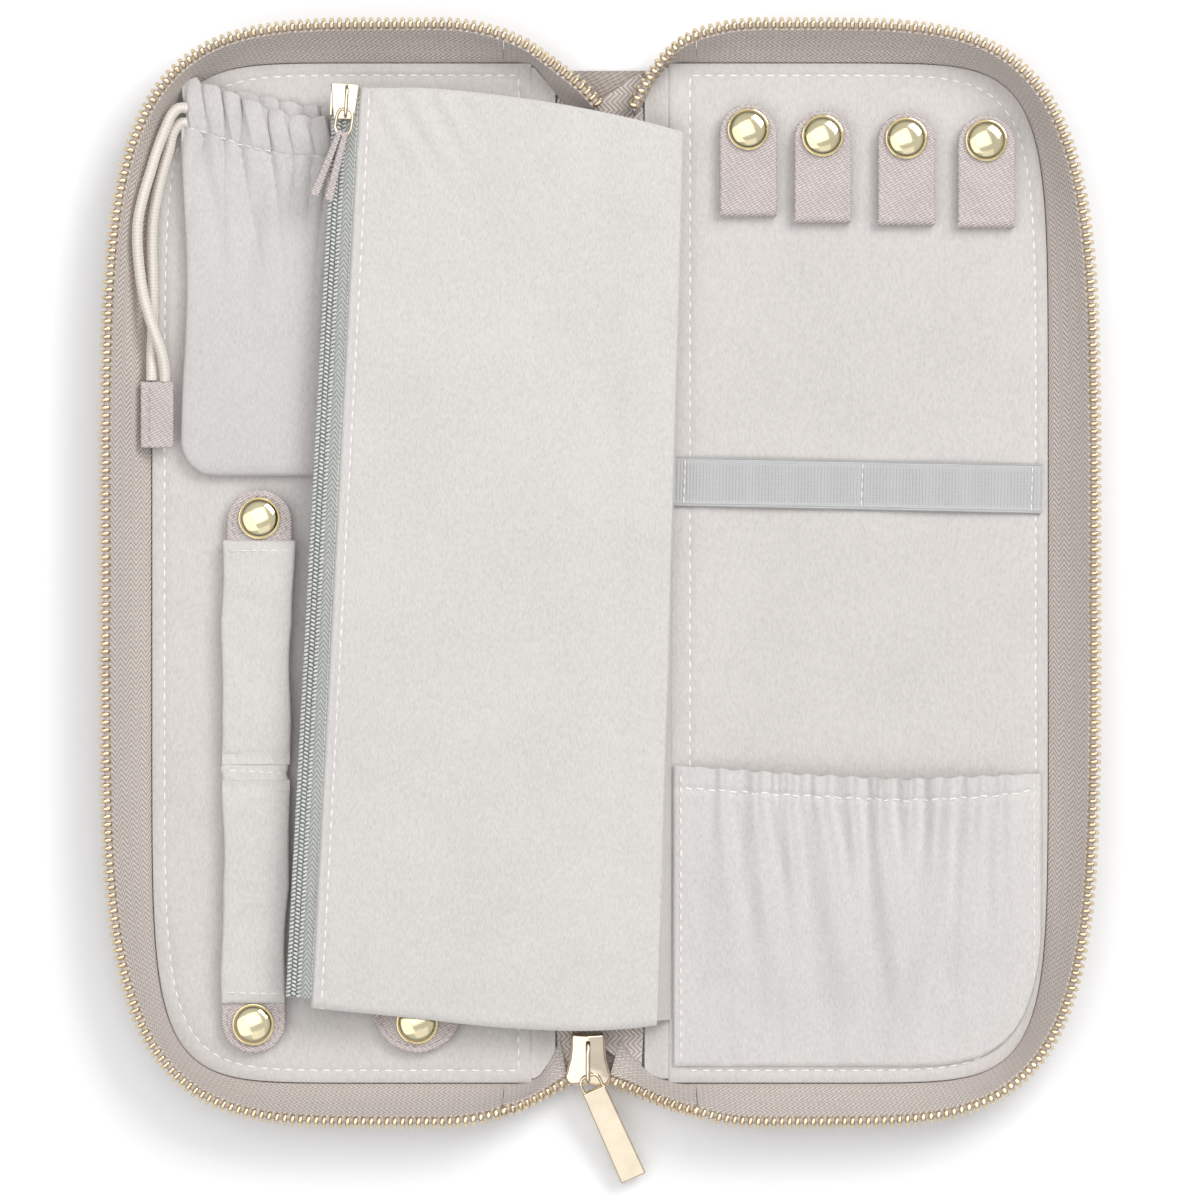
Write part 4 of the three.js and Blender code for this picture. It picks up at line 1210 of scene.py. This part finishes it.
# Stitches beside the zip, through the folded edge
seam_y = np.linspace(-106.5, 119, 160)
seam_x = free_x(seam_y) + 2.7
seam_z = page_wave(seam_x, seam_y) + page_half_thickness(seam_x, seam_y, free_x(seam_y)) + 0.1
page_seam_line = placed_in(PAGE_FRAME, xyz(seam_x, seam_y, seam_z))
page_stitches = stitches("page_fold_stitches", page_seam_line, "page", 3.0, 2.0, 0.22)
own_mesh(page_neck)

# Upright hem between the right lining and the seam
s, v = grid(0, 1, 16, 0, 1, 160)
y = -111.8 + 221.8 * v
seam_x = SEAM[0] + SEAM_SLANT * y
foot_x = np.maximum(17.6, seam_x)
hem_x = foot_x + (seam_x - foot_x) * s + 0.35 * np.sin(s * math.pi) * np.sin(y / 17)
hem_top = xyz(hem_x + 0.35, y, 4.5 + (SEAM[2] - 4.2) * s)
hem_cloth = between("page_hem_cloth", hem_top, hem_top - [0.7, 0, 0], LOOK["lining_fabric"])
finish_piece(hem_cloth, "lining_fabric", "right_half", "page_hem")
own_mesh(hem_cloth)

# The page's own zip: woven tape, two rows of nylon coil, slider, loop and leather thong
ZIP_HALF_LENGTH = 113.0
u, v = grid(-3.2, 3.4, 18, -ZIP_HALF_LENGTH, ZIP_HALF_LENGTH, 200)
tape_z = 0.35 + 0.1 * np.sin(v / 14) - 0.35 * np.exp(-((u + 1.45) / 1.1) ** 2)
zip_top = placed_in(ZIP_FRAME, xyz(u, v, tape_z))
zip_tape = cloth("page_zip_tape_cloth", zip_top, 0.7, LOOK["coil_zip"], xyz(v, u * 1.4 + 30))
finish_piece(zip_tape, "coil_zip", "page", "page_zip")
LOOP = stack_template([(0.2, 0.1, -0.62), (0.48, 0.3, -0.46), (0.55, 0.34, 0), (0.48, 0.3, 0.46),
                       (0.2, 0.1, 0.62)], 8, 2.2)
COIL_PITCH = 1.0
coil_matrices = []
for k in range(int(2 * ZIP_HALF_LENGTH / COIL_PITCH)):
    at_y = -ZIP_HALF_LENGTH + 0.5 + COIL_PITCH * k
    for row, lean in ((-2.75, 1), (-1.45, -1), (-0.15, 1)):
        local = Matrix.Translation((row, at_y + (0.5 * COIL_PITCH if lean < 0 else 0), 0.72))
        local = local @ turned(22 * lean) @ turned(90, "Y")
        coil_matrices.append(ZIP_FRAME @ np.array(local))
coil = many("page_zip_coil", LOOP[0], LOOP[1], coil_matrices, COIL, 60)
finish_piece(coil, "coil_zip", "page")
tape_edge = xyz(np.full(120, 2.9), np.linspace(-111, 111, 120), np.full(120, 0.5))
stitches("page_zip_stitches", placed_in(ZIP_FRAME, tape_edge), "page", 1.1, 0.9, 0.16, COIL)


def wire(name, points, radius, look):
    """A round wire through points."""
    line = resample(points, max(24, int(path_length(points) / 0.35)))
    tangents = np.gradient(line, axis=0)
    rings = []
    for point, tangent in zip(line, tangents):
        tangent = tangent / np.linalg.norm(tangent)
        side = np.cross(tangent, (0.11, 0.07, 0.99))
        side /= np.linalg.norm(side)
        rings.append(circle(point, side, np.cross(side, tangent), radius, 12))
    return ring_stack(name, rings, look, 60)


SLIDER_Y, SLIDER_LENGTH = 110.5, 9.0
GOLD = LOOK["gold_metal"]


def slider_taper(x, y, z):
    """Slider plates are wider at the end where the two rows come in."""
    share = (y - (SLIDER_Y - SLIDER_LENGTH / 2)) / SLIDER_LENGTH
    return (-0.4 + (x + 0.4) * (0.78 + 0.3 * share), y, z)


START, STOP = SLIDER_Y - SLIDER_LENGTH / 2, SLIDER_Y + SLIDER_LENGTH / 2
lower_plate = rounded_box("lower_plate", (-3.7, START, -2.1), (2.9, STOP, -1.35), 0.3, GOLD, 3,
                          slider_taper)
upper_plate = rounded_box("upper_plate", (-3.7, START, 1.55), (2.9, STOP, 2.55), 0.4, GOLD, 3,
                          slider_taper)
left_wall = rounded_box("left_wall", (-3.9, START + 1, -1.6), (-3.3, STOP - 1, 1.9), 0.2, GOLD, 2)
arch_points = [(0, START + 0.8, 2.4), (0, START + 0.9, 3.6), (0, START + 1.9, 4.2),
               (0, SLIDER_Y, 4.35), (0, STOP - 1.9, 4.2), (0, STOP - 0.9, 3.5), (0, STOP - 0.8, 2.4)]
arch = wire("arch", smooth_route(arch_points, 8), 0.5, GOLD)
slider = merge("page_slider_gold", upper_plate, lower_plate, left_wall, arch)
moved(slider, ZIP_FRAME)
finish_piece(slider, "gold_metal", "page_slider", "page_slider")

PULL_FRAME = ZIP_FRAME @ np.array(Matrix.Translation((0, START + 2.2, 3.3)) @ turned(-6))
loop_side = [(0, 0.25, 0), (1.3, 0.1, 0), (1.9, -1.2, 0), (2.0, -3.2, 0), (1.9, -4.8, 0),
             (1.1, -5.8, 0), (0, -6, 0)]
loop_points = loop_side + [(-x, y, z) for x, y, z in loop_side[-2::-1]]
loop = wire("page_loop_gold", smooth_route(loop_points, 8), 0.42, GOLD)
moved(loop, PULL_FRAME)
finish_piece(loop, "gold_metal", "page_puller", "page_pull_loop")


def thong_strip(name, sign):
    """One arm of the folded leather thong, from the loop down to its cut end."""
    t, across = grid(0, 1, 50, -1, 1, 9)
    y = -5.2 - 17.4 * t
    centre = sign * (0.75 + 1.15 * t ** 1.2)
    half = 0.72 + 0.42 * t
    x = centre + half * across
    crown = 0.55 * dome(across, 4) * (0.75 + 0.25 * np.sin(math.pi * np.clip(t * 8, 0, 1)))
    top = xyz(x, y, 0.1 + crown + 0.075 * np.sin(t * 5) * sign)
    return between(name, top, xyz(x, y, np.full_like(x, -0.75)), LOOK["strap_leather"])


thong = merge("page_thong_leather", thong_strip("thong_a", -1), thong_strip("thong_b", 1))
swing = np.array(Matrix.Translation((0, -5.6, 0)) @ turned(-9)
                 @ Matrix.Translation((0, 5.6, 0)))
moved(thong, PULL_FRAME @ swing)
finish_piece(thong, "strap_leather", "page_puller", "page_pull_thong")


# ---- Straps for rings and for bracelets ----

def padded_strip(name, x, width, y0, y1, low, high, look, sag=0.0, seed=1.0, steps=90, from_x=None,
                 from_width=None):
    """A fabric strap filled with wadding: full between its sewn sides, flatter at its ends."""
    u, v = grid(-1, 1, 31, 0, 1, steps)
    y = y0 + (y1 - y0) * v
    pinch = 1 - 0.05 * np.sin(math.pi * v) * np.abs(np.sin(v * 7 + seed))
    x = (from_x or x) + (x - (from_x or x)) * v
    width = (from_width or width) + (width - (from_width or width)) * v
    stray = 0.5 * np.sin(v * math.pi * 1.6 + seed) * np.sin(math.pi * v)
    px = x + width / 2 * pinch * np.sin(u * math.pi / 2) + stray
    shape = dome(u, 5)
    ends = np.clip(np.minimum(v, 1 - v) * abs(y1 - y0) / 2.2, 0, 1) ** 0.5
    full = (high - low) / 2
    middle = (high + low) / 2
    crumple = 0.22 * ripples(xyz(px, y), 7, seed) + 0.3 * ripples(xyz(px * 0.4, y), 5, seed + 4)
    lift = sag * np.sin(math.pi * v)
    top = xyz(px, y, middle + lift + full * shape * (0.55 + 0.45 * ends) + crumple * shape * ends)
    under = xyz(px, y, middle + lift - full * shape * (0.6 + 0.4 * ends) - 0.02)
    return between(name, top, under, look, None, 60)


def strap_end(which, direction, body, tab_node, cap_node, stud_node):
    low, high = box_mm(tab_node)
    x = (low[0] + high[0]) / 2
    base, tip = (low[1], high[1]) if direction > 0 else (high[1], low[1])
    width = high[0] - low[0]
    start = -0.6
    made = soft_tongue(f"{which}_tab_leather", (x, base), width, start, abs(tip - base), low[2], high[2],
                       LOOK["strap_leather"], direction)
    finish_piece(made, "strap_leather", body, tab_node)
    ring = tongue_outline(width - 3.0, 1.5, abs(tip - base) - 1.5, 200)
    keep = ring[ring[:, 1] > 1.6]
    order = np.argsort(np.arctan2(keep[:, 1] - 3.0, keep[:, 0]))
    arc = keep[order]
    line = with_height(arc * direction, 0) + [x, base, high[2]]
    stitches(f"{which}_tab_stitches", line, body, 2.0, 1.3, 0.13, LEATHER_THREAD)
    snap_cap(cap_node, body)
    snap_stud(stud_node, "left_half")


STRAP_MIDDLE = (-86.0, 17.2)
for which, direction in (("upper", 1), ("lower", -1)):
    node = f"ring_strap_{which}"
    low, high = box_mm(node)
    x, width = (low[0] + high[0]) / 2, high[0] - low[0]
    near, far = (low[1], high[1]) if direction > 0 else (high[1], low[1])
    strap = padded_strip(f"{node}_cloth", x, width, near, far + 0.25 * direction, low[2] - 0.8, high[2],
                         LOOK["page_fabric"], 0.25, 1.0 + direction, 90, *STRAP_MIDDLE)
    finish_piece(strap, "page_fabric", node, node)
    seam = np.array([[x - width / 2 + 1.4, far - 2.4 * direction, high[2] + 0.12],
                     [x + width / 2 - 1.4, far - 2.2 * direction, high[2] + 0.12]])
    stitches(f"{node}_end_stitches", seam, node, 2.3, 1.8, 0.18)
    strap_end(f"ring_{which}", direction, node, f"ring_tab_{which}", f"ring_snap_cap_{which}",
              f"ring_snap_stud_{which}")
    hinge = joint_mm(f"{node}_open")
    u, v = grid(-1, 1, 21, -1, 1, 17)
    bend_top = xyz(STRAP_MIDDLE[0] + (STRAP_MIDDLE[1] / 2 - 0.15) * u, hinge[1] + 1.7 * v,
                   8.55 - 0.3 * np.abs(u) ** 4 - 0.25 * (1 - v ** 2))
    bend = cloth(f"{node}_bend", bend_top, 0.7, LOOK["page_fabric"])
    bend_between(bend)

low, high = box_mm("ring_strap_anchor")
anchor = padded_strip("ring_anchor_cloth", *STRAP_MIDDLE, low[1] - 0.2, high[1] + 0.2, low[2],
                      high[2] + 0.1, LOOK["page_fabric"], 0, 2.0, 30)
finish_piece(anchor, "page_fabric", "left_half", "ring_strap_anchor")
sewn = np.array([[low[0] + 1.5, (low[1] + high[1]) / 2 + 0.5, high[2] + 0.1],
                 [high[0] - 1.5, (low[1] + high[1]) / 2 - 0.3, high[2] + 0.1]])
stitches("ring_anchor_stitches", sewn, "left_half", 2.3, 1.8, 0.18)

low, high = box_mm("bracelet_strap")
x, width = (low[0] + high[0]) / 2, high[0] - low[0]
bracelet = padded_strip("bracelet_strap_cloth", x, width, high[1], low[1] - 0.25, low[2] - 0.6, high[2],
                        LOOK["page_fabric"], 0.0, 3.0, 120)
finish_piece(bracelet, "page_fabric", "bracelet_strap", "bracelet_strap")
strap_end("bracelet", -1, "bracelet_strap", "bracelet_tab", "bracelet_snap_cap", "bracelet_snap_stud")
hinge = joint_mm("bracelet_strap_open")
u, v = grid(-1, 1, 21, 0, 1, 30)
bend_top = xyz(x + (width / 2 - 0.5) * u, hinge[1] + 7.5 - 9.5 * v,
               4.95 + 3.5 * np.clip(v * 1.25, 0, 1) ** 1.5 - 0.2 * np.abs(u) ** 4)
bend = cloth("bracelet_strap_bend", bend_top, 0.6, LOOK["page_fabric"])
bend_between(bend)


# ---- Drawstring pouch ----

body_low, body_high = box_mm("pouch_body")
frill_low, frill_high = box_mm("pouch_frill")
# The sewn channel droops from the pouch's outer corner towards the page
channel_y = curve([-105, -98, -88, -78, -60, -38], [112.0, 110.0, 106.6, 104.6, 104.0, 105.0])


def gathers(x):
    """0 in the narrow creases between gathers and 1 on their rounded backs."""
    phase = (x + 1.1 * np.sin(x / 5.3) + 0.5 * np.sin(x / 2.1)) * math.pi / 5.2
    return np.abs(np.sin(phase)) ** 0.55


u, v = grid(-1, 1, 241, 0, 1, 141)
half_width = (body_high[0] - body_low[0]) / 2
centre_x = (body_high[0] + body_low[0]) / 2
corner = 9.0
rise = (body_high[1] - body_low[1]) * v
pull_in = corner - np.sqrt(np.clip(corner ** 2 - (corner - rise) ** 2, 0, None))
pull_in = np.where(rise < corner, pull_in, 0)
side_curve = 1.4 * np.sin(math.pi * np.clip((v - 0.1) / 0.9, 0, 1)) ** 2
px = centre_x + (half_width - pull_in - side_curve) * np.sin(u * math.pi / 2)
py = body_low[1] + (channel_y(px) - body_low[1]) * v
edge = dome(u, 6)
foot = rounded(v / 0.05)
drape = np.clip((v - 0.45) / 0.55, 0, 1) ** 1.6
below = np.clip(channel_y(px) - py, 0, None)
fan_x = px + 0.18 * below * np.sin(px / 6.0)
fans = (gathers(fan_x) - 0.55) * 2.0 * np.exp(-below / 14.0)
for at, deep, spread, slant in ((-100, 1.3, 2.6, 0.16), (-92, 1.0, 2.8, 0.12), (-84, 1.1, 2.6, -0.12)):
    fans -= deep * np.exp(-((px - at - slant * below) / spread) ** 2) * np.exp(-((below - 16) / 15) ** 2)
soft = 0.35 * ripples(xyz(px, py), 21, 6.0) + 0.12 * ripples(xyz(px, py), 7, 9.0)
full = 1.9 + 0.5 * np.sin(math.pi * v) + 0.2 * v
pz = 6.9 + (full * edge - 0.3) * foot + (fans - 0.5 * drape + soft) * edge * foot
body_top = xyz(px, py, pz)
body_under = xyz(px, py, np.full_like(px, 4.75) + 1.6 * (1 - edge * foot))
pouch_body = between("pouch_body_cloth", body_top, body_under, LOOK["pouch_fabric"], None, 70)
finish_piece(pouch_body, "pouch_fabric", "left_half", "pouch_body")


def ruffle(name, bottom_of, top_of, base, amplitude, shift, thick=0.5):
    """Gathered cloth above the channel: rounded folds that open out towards the free edge."""
    u, v = grid(0, 1, 460, 0, 1, 30)
    x = frill_low[0] - 1.2 + (frill_high[0] - frill_low[0] + 1.2) * u
    fold = gathers(x + shift)
    y0, y1 = bottom_of(x), top_of(x)
    y = y0 + (y1 - y0 + 0.9 * (fold - 0.6)) * v
    size = amplitude * (0.6 + 0.4 * v + 0.35 * np.sin(x / 3.7 + shift))
    edge = np.clip(np.minimum(u, 1 - u) * 50, 0, 1)
    z = base + (size * (fold - 0.5) + 0.7 * np.sin(math.pi * v) ** 2) * edge
    z = z - 0.5 * np.exp(-(v / 0.08) ** 2) + 0.3 * ripples(xyz(x, y), 5, shift)
    points = xyz(x + 0.5 * np.sin(x * 1.2 + 4 * v + shift), y, np.maximum(z, 4.95))
    return cloth(name, points, thick, LOOK["pouch_fabric"], None, 80), points


front_top = curve([-104, -101.5, -97, -91, -84, -76, -60, -44],
                  [122.6, 123.6, 121.6, 119.4, 116.4, 114.2, 113.6, 114.5])
back_top = curve([-104, -97, -91, -84, -76, -60, -44],
                 [120, 120.6, 120.4, 119.2, 117.2, 116.0, 117.0])
front, front_points = ruffle("pouch_frill_front", lambda x: channel_y(x) - 0.6, front_top, 8.3, 2.2, 0.0)
finish_piece(front, "pouch_fabric", "left_half", "pouch_frill")
back, _ = ruffle("pouch_frill_back", lambda x: channel_y(x) + 2.0, back_top, 6.0, 1.1, 2.3)
finish_piece(back, "pouch_fabric", "left_half")
channel = front_points[4:-4, 1] + [0, 0.1, 0.32]
channel_stitches = stitches("pouch_channel_stitches", channel, "left_half", 2.6, 1.9, 0.16)


# ---- Main zip slider and its pull ----

low, high = box_mm("main_slider")
SLIDER_X = (low[0] + high[0]) / 2
NARROW_Y, WIDE_Y = high[1], low[1]
# Half width of the bell at a share of its length from the narrow end
bell_half_width = curve([0, 0.12, 0.3, 0.5, 0.68, 0.85, 0.95, 1.0],
                        [4.0, 4.3, 4.35, 4.6, 5.2, 5.6, 5.0, 3.4])


def bell_plate(name, bottom, top, ridge):
    u, v = grid(-1, 1, 41, 0, 1, 49)
    reach = bell_half_width(v)
    y = NARROW_Y + (WIDE_Y - NARROW_Y) * v
    near = np.minimum.reduce([(1 - np.abs(u)) * reach, v * 13 + 0.05, (1 - v) * 13 + 0.05])
    round_off = rounded(near / 0.6)
    x = SLIDER_X + u * reach
    peak = ridge * (1 - np.abs(u)) * np.sin(math.pi * np.clip(v * 0.7 + 0.25, 0, 1))
    over = xyz(x, y, bottom + (top - bottom) * (0.35 + 0.65 * round_off) + peak * round_off)
    under = xyz(x, y, bottom + (top - bottom) * 0.25 * (1 - round_off))
    return between(name, over, under, GOLD, None, 35)


plate_low = bell_plate("plate_low", 3.3, 4.3, 0)
plate_high = bell_plate("plate_high", 6.3, 7.3, 1.5)
divider = rounded_box("divider", (SLIDER_X - 1.3, WIDE_Y + 0.6, 3.8),
                      (SLIDER_X + 1.3, WIDE_Y + 5, 6.9), 0.3, GOLD)
bridge_side = [(NARROW_Y - 2.2, 7.3), (NARROW_Y - 2.5, 8.9), (NARROW_Y - 4.2, 9.75),
               (NARROW_Y - 7.5, 9.85), (WIDE_Y + 1.9, 9.85), (WIDE_Y + 0.75, 9.2), (WIDE_Y + 0.6, 7.2)]
bridge = wire("bridge", smooth_route([(SLIDER_X, y, z) for y, z in bridge_side], 8), 0.62, GOLD)
main_slider = merge("main_slider_gold", plate_high, plate_low, divider, bridge)
finish_piece(main_slider, "gold_metal", "spine", "main_slider")

MAIN_PULL_FRAME = np.array(
    Matrix.Translation(joint_mm("main_pull_swing")) @ turned(24)
    @ turned(12, "X"))


def bar_taper(x, y, z):
    share = (-3.4 - y) / 25.2
    return (x * (0.9 + 0.1 * share), y, z)


bar = rounded_box("bar", (-3.4, -28.6, -1.0), (3.4, -3.4, 1.1), 0.5, GOLD, 4, bar_taper)
eye_points = [(0, 0.2, 0), (1.5, 0.1, 0), (2.4, -0.9, 0), (2.5, -2.8, 0), (2.5, -4.8, 0)]
eye_right = wire("eye_right", smooth_route(eye_points, 8), 0.45, GOLD)
eye_left = wire("eye_left", smooth_route([(-x, y, z) for x, y, z in eye_points], 8), 0.45, GOLD)
main_pull = merge("main_pull_gold", bar, eye_right, eye_left)
moved(main_pull, MAIN_PULL_FRAME)
finish_piece(main_pull, "gold_metal", "main_pull", "main_pull")


# ---- Floor, lights and surroundings ----

floor_mesh = bpy.data.meshes.new("floor")
floor_mesh.from_pydata([(-4, -4, 0), (4, -4, 0), (4, 4, 0), (-4, 4, 0)], [], [(0, 1, 2, 3)])
floor = bpy.data.objects.new("floor", floor_mesh)
floor.location.z = CAD_BOUNDS[0][2] - 0.0006
bpy.context.scene.collection.objects.link(floor)
floor_look = Nodes("floor", (0.95, 0.95, 0.95), 0.9)
floor_look.bump(floor_look.noise(40, 2), 0.02, 0.001)
floor_mesh.materials.append(floor_look.material)

# Each light: its name, its place in metres, its width and height, and its power in watts
LIGHTS = [
    ("key", (0.75, 0.8, 1.1), (0.9, 0.7), 12.2),
    ("fill", (-0.9, -0.3, 1.3), (1.4, 1.2), 4.8),
    ("top", (-0.1, 0.25, 1.6), (0.9, 0.9), 3.2),
    ("front", (0.25, -0.85, 1.4), (1.0, 0.8), 1.0),
]
for name, place, size, power in LIGHTS:
    data = bpy.data.lights.new(name, "AREA")
    data.shape = "RECTANGLE"
    data.size, data.size_y = size
    data.energy = power
    light = bpy.data.objects.new(name, data)
    light.location = place
    light.rotation_euler = (-Vector(place)).to_track_quat("-Z", "Y").to_euler()
    bpy.context.scene.collection.objects.link(light)

world = bpy.data.worlds.new("studio")
world.use_nodes = True
sky = world.node_tree
sky.nodes["Background"].inputs["Color"].default_value = (0.97, 0.98, 1.0, 1)
# Bright overhead and dimmer towards the horizon, so that domed metal shows a darker edge
direction = sky.nodes.new("ShaderNodeTexCoord")
height = sky.nodes.new("ShaderNodeSeparateXYZ")
fade = sky.nodes.new("ShaderNodeMapRange")
for name, value in (("From Min", 0.25), ("From Max", 0.75), ("To Min", 0.1), ("To Max", 0.79)):
    fade.inputs[name].default_value = value
sky.links.new(direction.outputs["Generated"], height.inputs["Vector"])
sky.links.new(height.outputs["Z"], fade.inputs["Value"])
sky.links.new(fade.outputs["Result"], sky.nodes["Background"].inputs["Strength"])
bpy.context.scene.world = world
bpy.context.scene.view_settings.view_transform = "Standard"
